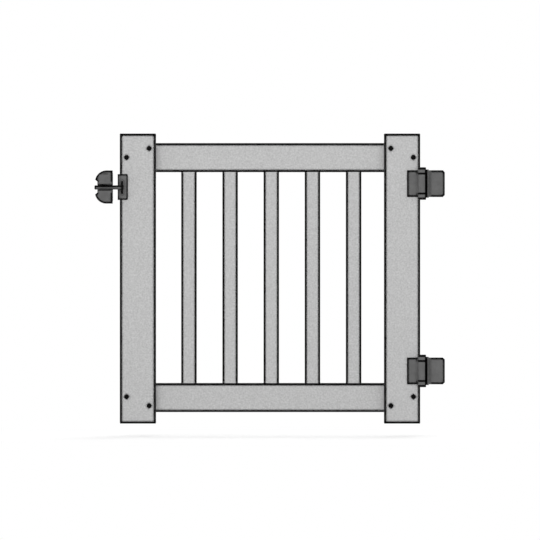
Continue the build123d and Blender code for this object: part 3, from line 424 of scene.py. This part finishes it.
def baluster_tree():
    """A row of upright bars with rounded edges."""
    tree, given, result = new_tree(
        "baluster_row",
        {
            "Count": "NodeSocketInt",
            "First": "NodeSocketVector",
            "Pitch": "NodeSocketVector",
            "Rise": "NodeSocketVector",
            "Size": "NodeSocketFloat",
            "Edge Radius": "NodeSocketFloat",
            "Finish": "NodeSocketMaterial",
        },
    )
    join = tree.links.new
    square = add_node(tree, "GeometryNodeCurvePrimitiveQuadrilateral")
    join(given.outputs["Size"], square.inputs["Width"])
    join(given.outputs["Size"], square.inputs["Height"])
    rounded = add_node(tree, "GeometryNodeFilletCurve", {"Count": EDGE_STEPS}, mode="POLY")
    join(square.outputs[0], rounded.inputs["Curve"])
    join(given.outputs["Edge Radius"], rounded.inputs["Radius"])
    line = add_node(tree, "GeometryNodeCurvePrimitiveLine")
    join(given.outputs["Rise"], line.inputs["End"])
    bar = add_node(tree, "GeometryNodeCurveToMesh", {"Fill Caps": True})
    join(line.outputs[0], bar.inputs["Curve"])
    join(rounded.outputs[0], bar.inputs["Profile Curve"])
    row = add_node(tree, "GeometryNodeMeshLine")
    join(given.outputs["Count"], row.inputs["Count"])
    join(given.outputs["First"], row.inputs["Start Location"])
    join(given.outputs["Pitch"], row.inputs["Offset"])
    copies = add_node(tree, "GeometryNodeInstanceOnPoints")
    join(row.outputs[0], copies.inputs["Points"])
    join(bar.outputs[0], copies.inputs["Instance"])
    coat_copies(tree, copies, given, result)
    return tree


BALUSTER_ROW = baluster_tree()
print("tree", BALUSTER_ROW.name, "has", len(BALUSTER_ROW.nodes), "nodes")

# %% Grow the balusters
BALUSTER_NODES = [n for n in sorted(nodes) if n.startswith("baluster_")]
EDGE_RADIUS = 0.003

first_low, first_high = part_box(BALUSTER_NODES[0])
last_low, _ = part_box(BALUSTER_NODES[-1])
foot = (first_low + first_high) / 2
foot.z = first_low.z
balusters = grow(
    "balusters",
    bpy.data.meshes.new("balusters_start"),
    BALUSTER_ROW,
    {
        "Count": len(BALUSTER_NODES),
        "First": foot,
        "Pitch": (last_low - first_low) / (len(BALUSTER_NODES) - 1),
        "Rise": (0.0, 0.0, first_high.z - first_low.z),
        "Size": first_high.x - first_low.x,
        "Edge Radius": EDGE_RADIUS,
        "Finish": slim_boards,
    },
)
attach(balusters, "gate")
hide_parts(*BALUSTER_NODES)

# %% [markdown]
# ## Screws and plugs
# Eight black round-headed screws hold the stiles, twelve countersunk ones hold the hinges and the
# striker, four small ones close the latch, and ten plugs cover the screws of the balusters. Each
# kind is one small mesh, turned on a lathe in code, with the hexagon for the key cut into its
# head. One tree seats that mesh on every place of its kind, heads facing outward, each turned by
# a random but fixed angle as a hand would leave it. The places are read from the CAD pieces that
# the screws stand for.

# %% A tree that seats fasteners
LEAST, MOST = 2, 3  # sockets of a random number's span


def seating_tree():
    """Copies of a fastener on every place, each facing its own way and turned."""
    tree, given, result = new_tree(
        "seat_fasteners",
        {
            "Places": "NodeSocketGeometry",
            "Fastener": "NodeSocketObject",
            "Turn": "NodeSocketFloat",
            "Seed": "NodeSocketInt",
            "Finish": "NodeSocketMaterial",
        },
    )
    join = tree.links.new
    master = add_node(tree, "GeometryNodeObjectInfo", {"As Instance": True})
    join(given.outputs["Fastener"], master.inputs["Object"])
    stored = {"Name": "facing"}
    facing = add_node(tree, "GeometryNodeInputNamedAttribute", stored, data_type="FLOAT_VECTOR")
    aligned = add_node(tree, "FunctionNodeAlignRotationToVector", axis="Z")
    join(facing.outputs[0], aligned.inputs["Vector"])
    angle = add_node(tree, "FunctionNodeRandomValue", data_type="FLOAT")
    angle.inputs[LEAST].default_value = 0.0
    join(given.outputs["Turn"], angle.inputs[MOST])
    join(given.outputs["Seed"], angle.inputs["Seed"])
    spin = add_node(tree, "FunctionNodeAxisAngleToRotation", {"Axis": (0.0, 0.0, 1.0)})
    join(angle.outputs[1], spin.inputs["Angle"])
    turned = add_node(tree, "FunctionNodeRotateRotation", rotation_space="LOCAL")
    join(aligned.outputs[0], turned.inputs[0])
    join(spin.outputs[0], turned.inputs[1])
    copies = add_node(tree, "GeometryNodeInstanceOnPoints")
    join(given.outputs["Places"], copies.inputs["Points"])
    join(master.outputs["Geometry"], copies.inputs["Instance"])
    join(turned.outputs[0], copies.inputs["Rotation"])
    coat_copies(tree, copies, given, result)
    return tree


SEATING = seating_tree()
print("tree", SEATING.name, "has", len(SEATING.nodes), "nodes")

# %% Find the places of a kind
SAME_LEVEL = 1e-5  # metres
HEAD_SPAN = 0.015  # wider than any head, and less than the way to the next

FRONT, BACK = Vector((0, -1, 0)), Vector((0, 1, 0))
LEFT, RIGHT = Vector((-1, 0, 0)), Vector((1, 0, 0))
DOWN, UP = Vector((0, 0, -1)), Vector((0, 0, 1))


def head_places(node, facing):
    """Centres of the heads of one CAD node, whose solids all face the same way."""
    along = next(i for i in range(3) if facing[i])
    across = [i for i in range(3) if i != along]
    points = np.array([v.co for v in nodes[node].data.vertices])
    seat = points[:, along].max() if facing[along] > 0 else points[:, along].min()
    left = points[np.abs(points[:, along] - seat) < SAME_LEVEL]
    spread = float(np.ptp(left[:, across], axis=0).max())
    places = []
    while len(left):
        near = np.linalg.norm(left[:, across] - left[0, across], axis=1) < HEAD_SPAN
        middle = (left[near].min(axis=0) + left[near].max(axis=0)) / 2
        middle[along] = seat
        places.append(Vector(middle))
        left = left[~near]
    print(node, "has", len(places), "heads over", round(1000 * spread), "mm")
    return places


def place_mesh(groups):
    """A mesh of loose points, each with the direction that its fastener faces."""
    spots = [(place, facing) for places, facing in groups for place in places]
    mesh = bpy.data.meshes.new("places")
    mesh.from_pydata([place for place, facing in spots], [], [])
    store = mesh.attributes.new("facing", "FLOAT_VECTOR", "POINT")
    for entry, (place, facing) in zip(store.data, spots):
        entry.vector = facing
    return mesh


# %% Turn a fastener
SEGMENTS = 48
HEXAGON_HALF = math.pi / 6  # half the angle of one side


def round_ring(radius):
    """The distance from the axis at each angle, on a circle."""
    return lambda turn: radius


def hexagon_ring(radius):
    """The same on a hexagon with its corners at the radius."""

    def reach(turn):
        aside = (turn + HEXAGON_HALF) % (2 * HEXAGON_HALF) - HEXAGON_HALF
        return radius * math.cos(HEXAGON_HALF) / math.cos(aside)

    return reach


def lathe(name, profile, key=None):
    """A closed solid turned round Z from (radius, height) points, top first.

    Key is the (radius, depth) of the hexagon in its top.
    """
    levels = [(round_ring(radius), height) for radius, height in profile]
    if key:
        radius, depth = key
        top = profile[0][1]
        levels = [(hexagon_ring(radius), height) for height in (top - depth, top)] + levels
    mesh = bmesh.new()
    rings = []
    for reach, height in levels:
        ring = []
        for i in range(SEGMENTS):
            turn = math.tau * i / SEGMENTS
            away = reach(turn)
            ring.append(mesh.verts.new((away * math.cos(turn), away * math.sin(turn), height)))
        rings.append(ring)
    for upper, lower in zip(rings, rings[1:]):
        for i in range(SEGMENTS):
            j = (i + 1) % SEGMENTS
            mesh.faces.new((upper[i], lower[i], lower[j], upper[j]))
    mesh.faces.new(rings[0])
    mesh.faces.new(reversed(rings[-1]))
    bmesh.ops.recalc_face_normals(mesh, faces=mesh.faces)
    data = bpy.data.meshes.new(name)
    mesh.to_mesh(data)
    mesh.free()
    print(name, "is turned in", len(rings), "rings")
    return bpy.data.objects.new(name, data)


# %% Seat a kind of fastener
def seat_all(name, master, groups, finish, body, replaced, turn=math.tau, seed=7):
    """Seat copies of a master on groups of places, in place of some CAD nodes."""
    values = {"Fastener": master, "Turn": turn, "Seed": seed, "Finish": finish}
    piece = grow(name, place_mesh(groups), SEATING, values)
    bpy.data.objects.remove(master)
    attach(piece, body)
    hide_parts(*replaced)


# %% [markdown]
# The screws have a dark coating on steel, with a faint mottle where it is thin. On the round
# heads it is nearly black and matt, and on the countersunk ones a little paler, with a soft
# gleam. A round head gets a dome in seven steps over an upright rim, and a shank in the board. A
# plain cylinder would be simpler, but a dome catches the light as a real head does.

# %% A coat for screws
MOTTLE_PER_METRE = 700.0
MOTTLE_SPAN = (0.4, 0.75)
THIN_COAT = 2.2  # how much paler the coat is where it is thin
SCREW_ROUGHNESS = (0.36, 0.5)
SOFT_GLEAM = 0.35  # specular level


def coated_screw(name, level, specular):
    finish, tree, shader, place = new_finish(name, specular=specular)
    mottle = add_noise(tree, place, MOTTLE_PER_METRE, detail=3.0)
    thin = tuple(x * THIN_COAT for x in grey(level)[:3]) + (1.0,)
    coat = add_blend(tree, add_range(tree, mottle, *MOTTLE_SPAN), grey(level), thin)
    tree.links.new(coat, shader.inputs["Base Color"])
    add_roughness(tree, shader, mottle, *SCREW_ROUGHNESS)
    add_bump(tree, shader, mottle, strength=0.1, depth=0.0002)
    return finish


black_coat = coated_screw("black_coat", level=2, specular=MATT)
dark_coat = coated_screw("dark_coat", level=30, specular=SOFT_GLEAM)
dress({"top_baluster_screws": dark_coat, "bottom_baluster_screws": dark_coat})

# %% Black screws in the boards
HEAD_RADIUS = 0.0074
HEAD_HEIGHT = 0.0032
FLAT_TOP, DOMED = 0.55, 0.45  # shares of the radius
RIM, DOME = 0.3, 0.7  # shares of the height
DOME_STEPS = 7
RIM_ANGLE, DOME_ANGLE = 25, 65  # degrees up a circle at the rim, and from there to the top
SHANK_RADIUS = 0.003
SHANK_LENGTH = 0.03
FACE_KEY = (0.0028, 0.002)  # radius and depth of the hexagon

rim_sine, rim_cosine = math.sin(math.radians(RIM_ANGLE)), math.cos(math.radians(RIM_ANGLE))
head = []
for i in range(DOME_STEPS + 1):
    rise = math.radians(RIM_ANGLE + DOME_ANGLE * (1 - i / DOME_STEPS))
    share = math.cos(rise) / rim_cosine
    lift = (math.sin(rise) - rim_sine) / (1 - rim_sine)
    head.append((HEAD_RADIUS * (FLAT_TOP + DOMED * share), HEAD_HEIGHT * (RIM + DOME * lift)))
shank = [(HEAD_RADIUS, 0.0), (SHANK_RADIUS, 0.0), (SHANK_RADIUS, -SHANK_LENGTH)]
seat_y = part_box("latch_stile")[0].y
face_places = []
for piece in ("latch_stile_screws", "hinge_stile_screws"):
    for place in head_places(piece, FRONT):
        face_places.append(Vector((place.x, seat_y, place.z)))
seat_all(
    "face_screws",
    lathe("face_screw", head + shank, FACE_KEY),
    [(face_places, FRONT)],
    black_coat,
    "gate",
    ("latch_stile_screws", "hinge_stile_screws"),
)

# %% Countersunk screws
LIP = 0.0004  # upright edge of the head
BREAK = 0.0002  # taken off that edge
EDGE_SCREW = (0.005, 0.0025, 0.02)  # radius of the head, radius of the shank, length
EDGE_KEY = (0.0021, 0.002)
COVER_SCREW = (0.0036, 0.0018, 0.012)
COVER_KEY = (0.0016, 0.0018)


def sunk_profile(radius, shank, length):
    """A head that tapers down to its shank."""
    cone = LIP + radius - shank
    head = [(radius - BREAK, 0.0), (radius, -BREAK), (radius, -LIP)]
    return head + [(shank, -cone), (shank, -length)]


seat_all(
    "edge_screws",
    lathe("edge_screw", sunk_profile(*EDGE_SCREW), EDGE_KEY),
    [
        (head_places("upper_leaf_screws", RIGHT), RIGHT),
        (head_places("lower_leaf_screws", RIGHT), RIGHT),
        (head_places("striker_screws", LEFT), LEFT),
    ],
    dark_coat,
    "gate",
    ("upper_leaf_screws", "lower_leaf_screws", "striker_screws"),
    seed=11,
)
seat_all(
    "cover_screws",
    lathe("cover_screw", sunk_profile(*COVER_SCREW), COVER_KEY),
    [(head_places("latch_cover_screws", BACK), BACK)],
    dark_coat,
    "post_hardware",
    ("latch_cover_screws",),
    seed=13,
)

# %% Plugs
PLUG_RADIUS = 0.006
PLUG_BREAK = 0.0007
PLUG_LENGTH = 0.022

plug_top = [(PLUG_RADIUS - PLUG_BREAK, 0.0), (PLUG_RADIUS, -PLUG_BREAK)]
seat_all(
    "rail_plugs",
    lathe("rail_plug", plug_top + [(PLUG_RADIUS, -PLUG_LENGTH)]),
    [
        (head_places("top_rail_plugs", UP), UP),
        (head_places("bottom_rail_plugs", DOWN), DOWN),
    ],
    board_finish("board_plug", LEVEL_STREAKS, line=None),
    "gate",
    ("top_rail_plugs", "bottom_rail_plugs"),
    turn=0.0,
)

# %% [markdown]
# ## Hinges and striker: powder-coated metal
# The hinges and the striker are metal under a baked powder coat. Powder melts into a skin like
# orange peel, with dimples about a millimetre across, too small to be worth geometry, so a fine
# bump carries them. The tone drifts slightly from place to place. The coat is matt, so it takes a
# broad soft gleam from the lamps and no sharp reflection. Besides the dark line at the edges,
# painted shade darkens the groove beside the barrel, the web that holds the striker bar, and the
# bar along its top and underside and round its free end. Object coordinates say where these
# places are.

# %% Measure the metal
METAL_LINE = 0.013  # reach of the dark line at an outline
BARREL_LINE = 0.004  # and on small or round pieces
pin_low, pin_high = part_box("upper_hinge_pin")
cap_low, cap_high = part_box("upper_bottom_cap")
BARREL_AXIS = ((pin_low.x + pin_high.x) / 2, (pin_low.y + pin_high.y) / 2, 0.0)
BARREL_RADIUS = (cap_high.x - cap_low.x) / 2
bar_low, bar_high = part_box("striker_bar")
BAR_Z = (bar_low.z + bar_high.z) / 2
print("barrel of", *in_mm(BARREL_RADIUS), "mm radius round", in_mm(*BARREL_AXIS[:2]))
print("striker bar at", *in_mm(BAR_Z), "mm")

# %% Where on the hinges
LEAF_START = (1.02, 1.15)  # where the long line takes over on the gate leaf, in barrel radii
SPINE_END = (1.75, 1.9)  # and on the post leaf, beyond its narrow spine
SPINE_LINE = 0.0015
SPINE_GAP = 0.004  # groove between the barrel and the post leaf
GROOVE_SIDE = 0.7  # where the painted shade on the barrel's side begins, as a share of its radius
GROOVE_LIP = 0.0005  # of the spine beside the groove
GROOVE_BLUR = 0.0003  # to each side of where the painted shade ends
LEVEL_ONLY = (1.0, 1.0, 0.0)  # leaves the height out
GROOVE_START = BARREL_AXIS[0] + GROOVE_SIDE * BARREL_RADIUS
GROOVE_END = BARREL_AXIS[0] + BARREL_RADIUS + SPINE_GAP + GROOVE_LIP
print("bare groove from x", *in_mm(GROOVE_START), "to", *in_mm(GROOVE_END), "mm")


def line_from_barrel(tree, place, span, short):
    """The reach of the dark line: short near the barrel and long beyond the span."""
    offset = add_vector_math(tree, "SUBTRACT", place, BARREL_AXIS)
    level = add_vector_math(tree, "MULTIPLY", offset, LEVEL_ONLY)
    away = add_vector_math(tree, "LENGTH", level)
    near, far = (share * BARREL_RADIUS for share in span)
    return add_range(tree, away, near, far, short, METAL_LINE)


def gate_leaf_line(tree, place):
    return line_from_barrel(tree, place, LEAF_START, BARREL_LINE)


def post_leaf_line(tree, place):
    return line_from_barrel(tree, place, SPINE_END, SPINE_LINE)


def in_groove(tree, place):
    """1 on both sides of the groove beside the barrel, where shade is painted dark."""
    across = part_of(tree, place, "X")
    begin, begun = GROOVE_START - GROOVE_BLUR, GROOVE_START + GROOVE_BLUR
    end, ended = GROOVE_END - GROOVE_BLUR, GROOVE_END + GROOVE_BLUR
    rising = add_range(tree, across, begin, begun)
    falling = add_range(tree, across, end, ended, 1.0, 0.0)
    return add_math(tree, "MULTIPLY", rising, falling)


# %% Where on the striker
STRIKER_LINE = 0.01
PLATE_THICKNESS = 0.004  # of the striker
WEB_START = (0.002, 0.001)  # in front of the plate, where the painted shade on the web is full and where it ends
BAR_RADIUS = 0.0065
# painted shade along the bar's top begins between these heights
TOP_SHADE_START = (0.1, 0.2)  # above the bar's middle, in its radii
UNDERSIDE = (-0.9, -0.8)
BAR_TIP = (0.004, 0.005)  # from the bar's free end
PLATE_FRONT = seat_y - PLATE_THICKNESS
print("the web is bare in front of y", *in_mm(PLATE_FRONT), "mm")


def on_web(tree, place):
    """1 on the web that stands out from the striker's plate, where shade is painted dark."""
    shaded, coated = (PLATE_FRONT - ahead for ahead in WEB_START)
    return add_range(tree, part_of(tree, place, "Y"), shaded, coated, 1.0, 0.0)


def along_bar(tree, place):
    """1 along the top of the striker bar, in a thin line under it and round its free end: painted
    shade.
    """
    height = part_of(tree, place, "Z")
    top = add_range(tree, height, *(BAR_Z + share * BAR_RADIUS for share in TOP_SHADE_START))
    low, high = (BAR_Z + share * BAR_RADIUS for share in UNDERSIDE)
    under = add_range(tree, height, low, high, 1.0, 0.0)
    near, far = (bar_low.x + inward for inward in BAR_TIP)
    tip = add_range(tree, part_of(tree, place, "X"), near, far, 1.0, 0.0)
    return add_math(tree, "MAXIMUM", tip, add_math(tree, "MAXIMUM", top, under))


# %% Powder coats
# painted shade: the near black painted on outer edges and wherever a coat asks for it
PAINTED_SHADE = grey(3)
PEEL_PER_METRE = 850.0
COAT_DRIFT_PER_METRE = 45.0
COAT_DRIFT = 5  # picture levels to either side
ROUGHNESS_DRIFT = 0.05
LEAF_GREY = 104


def powder_coat(name, level, roughness=0.48, line=METAL_LINE, shaded=None):
    """A coat of one grey, with painted shade along its edges and where its last argument says."""
    finish, tree, shader, place = new_finish(name, specular=MATT)
    drift = add_noise(tree, place, COAT_DRIFT_PER_METRE, detail=3.0)
    coat = drifting_grey(tree, drift, level, COAT_DRIFT)
    # painted shade along the outer edges, and where the last argument says
    dark = outer_edges(tree, line, place)
    if shaded:
        dark = add_math(tree, "MAXIMUM", dark, shaded(tree, place))
    tree.links.new(add_blend(tree, dark, coat, PAINTED_SHADE), shader.inputs["Base Color"])
    add_roughness(tree, shader, drift, roughness - ROUGHNESS_DRIFT, roughness + ROUGHNESS_DRIFT)
    peel = add_noise(tree, place, PEEL_PER_METRE, detail=1.0)
    add_bump(tree, shader, peel, strength=0.12, depth=0.0003)
    return finish


# painted shade: in the groove beside the barrel, on the striker's web, and on the striker bar
gate_leaf_coat = powder_coat("gate_leaf_coat", LEAF_GREY, line=gate_leaf_line, shaded=in_groove)
post_leaf_coat = powder_coat("post_leaf_coat", LEAF_GREY, line=post_leaf_line, shaded=in_groove)
cap_coat = powder_coat("cap_coat", level=14, roughness=0.4, line=BARREL_LINE)
striker_coat = powder_coat("striker_coat", level=110, line=STRIKER_LINE, shaded=on_web)
bar_coat = powder_coat("bar_coat", level=96, roughness=0.4, line=BARREL_LINE, shaded=along_bar)
for hinge in ("upper", "lower"):
    dress(
        {
            f"{hinge}_gate_leaf": gate_leaf_coat,
            f"{hinge}_post_leaf": post_leaf_coat,
            f"{hinge}_tension_adjuster": cap_coat,
            f"{hinge}_bottom_cap": cap_coat,
        }
    )
dress({"striker_bracket": striker_coat, "striker_bar": bar_coat})

# %% [markdown]
# ## The latch: moulded polymer
# The latch's base and its two covers are moulded in a dark grey polymer with an etched grain,
# which scatters light more than the powder coat does. The grain is a cell pattern a little over a
# millimetre across, as a bump, because so many dents would take millions of faces. The tone
# drifts slowly, and the edges get the painted dark line of painted shade. Behind the upper cover
# lies the pocket of the tongue, and its thin walls would draw lines where no edge shows, so the
# line is kept short there.

# %% Moulded latch pieces
POCKET_HALF = (0.0145, 1.0, 0.0125)  # half the size of the pocket for the tongue
POCKET_INSET = 0.0095  # its middle, left of the tongue's right side
POCKET_RIM = (0.9, 1.1)  # where the line grows again, in those half sizes
THROAT_HEIGHTS = (0.0145, 0.019)  # from the bar's middle, where the line at the throat ends
MOULD_DRIFT_PER_METRE = 60.0


def latch_line(tree, place):
    """The reach of the dark line: long at the outline, short at the throat and over the pocket."""
    low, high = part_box("latch_tongue")
    middle = (high.x - POCKET_INSET, 0.0, (low.z + high.z) / 2)
    offset = add_vector_math(tree, "SUBTRACT", place, middle)
    sizes = add_vector_math(tree, "ABSOLUTE", add_vector_math(tree, "DIVIDE", offset, POCKET_HALF))
    away = add_math(tree, "MAXIMUM", *(part_of(tree, sizes, axis) for axis in "XZ"))
    pocket = add_range(tree, away, *POCKET_RIM, BARREL_LINE, METAL_LINE)
    height = add_math(tree, "SUBTRACT", part_of(tree, place, "Z"), BAR_Z)
    height = add_math(tree, "ABSOLUTE", height, 0.0)
    throat = add_range(tree, height, *THROAT_HEIGHTS, BARREL_LINE, METAL_LINE)
    return add_math(tree, "MINIMUM", pocket, throat)


def moulded(name, level, cells_per_metre, roughness, line):
    finish, tree, shader, place = new_finish(name, specular=MATT)
    size = {"Scale": cells_per_metre}
    grain = add_node(tree, "ShaderNodeTexVoronoi", size, feature="SMOOTH_F1")
    tree.links.new(place, grain.inputs["Vector"])
    drift = add_noise(tree, place, MOULD_DRIFT_PER_METRE, detail=3.0)
    coat = drifting_grey(tree, drift, level, COAT_DRIFT)
    # painted shade along the outer edges
    dark = outer_edges(tree, line, place)
    tree.links.new(add_blend(tree, dark, coat, PAINTED_SHADE), shader.inputs["Base Color"])
    add_roughness(tree, shader, drift, roughness - ROUGHNESS_DRIFT, roughness + ROUGHNESS_DRIFT)
    add_bump(tree, shader, grain.outputs[0], strength=0.1, depth=0.0003)
    return finish


latch_polymer = moulded(
    "latch_polymer", level=100, cells_per_metre=700.0, roughness=0.55, line=latch_line
)
bush_polymer = moulded(
    "bush_polymer", level=12, cells_per_metre=900.0, roughness=0.5, line=BARREL_LINE
)
for piece in ("latch_base", "latch_upper_cover", "latch_lower_cover"):
    dress({piece: latch_polymer})
for hinge in ("upper", "lower"):
    dress({f"{hinge}_top_bush": bush_polymer, f"{hinge}_bottom_bush": bush_polymer})

# %% [markdown]
# ## Bare metal inside
# The pins, the springs and the drop tongue are plain metal. They hardly show, but the latch can
# be seen from below and the hinge from above, so they get brushed streaks along their length and
# a metal shader. The streaks are the boards' stretched noise again, only much finer.

# %% Bare metal
METAL_DRIFT = 12  # picture levels to either side
METAL_ROUGHNESS_DRIFT = 0.08
PIN_STREAKS = (1500.0, 1500.0, 60.0)  # per metre along each axis
SPRING_STREAKS = (900.0, 900.0, 900.0)
TONGUE_STREAKS = (1200.0, 1200.0, 80.0)


def bare_metal(name, level, roughness, stretch):
    finish, tree, shader, place = new_finish(name, metallic=1.0)
    brush = add_streaks(tree, place, stretch)
    metal = drifting_grey(tree, brush, level, METAL_DRIFT)
    tree.links.new(metal, shader.inputs["Base Color"])
    smooth, rough = roughness - METAL_ROUGHNESS_DRIFT, roughness + METAL_ROUGHNESS_DRIFT
    add_roughness(tree, shader, brush, smooth, rough)
    add_bump(tree, shader, brush, strength=0.06, depth=0.0002)
    return finish


pin_steel = bare_metal("pin_steel", level=170, roughness=0.3, stretch=PIN_STREAKS)
spring_steel = bare_metal("spring_steel", level=120, roughness=0.4, stretch=SPRING_STREAKS)
tongue_metal = bare_metal("tongue_metal", level=150, roughness=0.38, stretch=TONGUE_STREAKS)
for hinge in ("upper", "lower"):
    dress({f"{hinge}_hinge_pin": pin_steel, f"{hinge}_closing_spring": spring_steel})
dress({"latch_tongue": tongue_metal})

# %% [markdown]
# ## Floor and white surroundings
# A plain pale floor lies a few centimetres under the gate and takes its soft shadow. The
# picture's background is white, so the camera, and any gloss, sees a white world, while the light
# that the world gives is a setting of its own. For those same rays the floor glows a little on
# top of the light that falls on it. That lifts it to white where it is fully lit and leaves only
# the shadow, and away from the gate it fades into the white, so no edge of it shows.

# %% Lay the floor
FLOOR_DROP = 0.0395
FLOOR_RADIUS = 6.0
FLOOR_SEGMENTS = 96

floor_mesh = bmesh.new()
bmesh.ops.create_circle(floor_mesh, cap_ends=True, radius=FLOOR_RADIUS, segments=FLOOR_SEGMENTS)
floor_data = bpy.data.meshes.new("floor")
floor_mesh.to_mesh(floor_data)
floor_mesh.free()
floor = bpy.data.objects.new("floor", floor_data)
floor.location = (aim_x, 0.0, gate_low.z - FLOOR_DROP)
bpy.context.scene.collection.objects.link(floor)
print("floor at", *in_mm(floor.location.z), "mm")

# %% Paint the floor
WHITE = (1.0, 1.0, 1.0, 1.0)
FLOOR_GREY = (0.86, 0.86, 0.86, 1.0)
FADE_REACH = (1.3, 0.9, 1.0)  # metres along and across the gate
FADE_START = 0.5  # as a share of that reach
FLOOR_GLOW = 0.3


def seen_directly(tree):
    """1 for rays that show the background itself: from the camera, in gloss or through glass."""
    ray = add_node(tree, "ShaderNodeLightPath")
    seen = add_math(tree, "MAXIMUM", ray.outputs["Is Camera Ray"], ray.outputs["Is Glossy Ray"])
    return add_math(tree, "MAXIMUM", seen, ray.outputs["Is Transmission Ray"])


def mix_shaders(tree, share, first, second):
    both = add_node(tree, "ShaderNodeMixShader")
    for socket, output in zip(both.inputs, (share, first.outputs[0], second.outputs[0])):
        tree.links.new(output, socket)
    return both.outputs[0]


paint = bpy.data.materials.new("floor_paint")
paint.use_nodes = True
tree = paint.node_tree
tree.nodes.clear()
place = add_node(tree, "ShaderNodeTexCoord").outputs["Object"]
away = add_vector_math(tree, "LENGTH", add_vector_math(tree, "DIVIDE", place, FADE_REACH))
fade = add_range(tree, away, FADE_START, 1.0)
seen = seen_directly(tree)
matt = add_node(tree, "ShaderNodeBsdfDiffuse", {"Color": FLOOR_GREY})
glow = add_node(tree, "ShaderNodeEmission")
tree.links.new(add_math(tree, "MULTIPLY", seen, FLOOR_GLOW), glow.inputs["Strength"])
lifted = add_node(tree, "ShaderNodeAddShader")
tree.links.new(matt.outputs[0], lifted.inputs[0])
tree.links.new(glow.outputs[0], lifted.inputs[1])
white = add_node(tree, "ShaderNodeEmission", {"Strength": 1.0})
surface = mix_shaders(tree, add_math(tree, "MULTIPLY", fade, seen), lifted, white)
tree.links.new(surface, add_node(tree, "ShaderNodeOutputMaterial").inputs["Surface"])
floor_data.materials.append(paint)
print("the floor fades out", FADE_REACH[0], "m along the gate")

# %% White world
SKY_STRENGTH = 0.44

world = bpy.data.worlds.new("white_room")
world.use_nodes = True
bpy.context.scene.world = world
tree = world.node_tree
tree.nodes.clear()
sky = add_node(tree, "ShaderNodeBackground", {"Color": WHITE, "Strength": SKY_STRENGTH})
paper = add_node(tree, "ShaderNodeBackground", {"Color": WHITE, "Strength": 1.0})
surface = mix_shaders(tree, seen_directly(tree), sky, paper)
tree.links.new(surface, add_node(tree, "ShaderNodeOutputWorld").inputs["Surface"])
print("the sky lights with a strength of", SKY_STRENGTH)

# %% [markdown]
# ## Lamps
# Soft square lamps, each two or three metres wide: a main one high on the left, a weaker one on
# the right, one behind for the far side and one overhead. A single bare lamp would cast hard
# shadows across the balusters, while these blur them. Their powers are set so that a board facing
# the camera renders at about the grey that its finish says.

# %% Hang the lamps
LAMPS = {
    # name: (place, power in watts, width in metres)
    "main_lamp": ((-1.7, -4.4, 1.6), 70.0, 3.0),
    "side_lamp": ((1.1, -4.2, 0.1), 56.0, 3.0),
    "back_lamp": ((0.6, 3.4, 2.0), 60.0, 2.4),
    "top_lamp": ((-0.5, 0.2, 3.4), 25.0, 2.0),
}
gate_middle = (gate_low + gate_high) / 2
for name, (spot, power, width) in LAMPS.items():
    data = bpy.data.lights.new(name, "AREA")
    data.energy = power
    data.size = width
    lamp = bpy.data.objects.new(name, data)
    lamp.location = spot
    toward = gate_middle - Vector(spot)
    lamp.rotation_euler = toward.to_track_quat("-Z", "Y").to_euler()
    bpy.context.scene.collection.objects.link(lamp)
    print(name, power, "W,", round(toward.length, 2), "m away")

# %% [markdown]
# ## Finish
# The colours go to the screen as they are, with no film look.

# %% Finish
bpy.context.scene.view_settings.view_transform = "Standard"
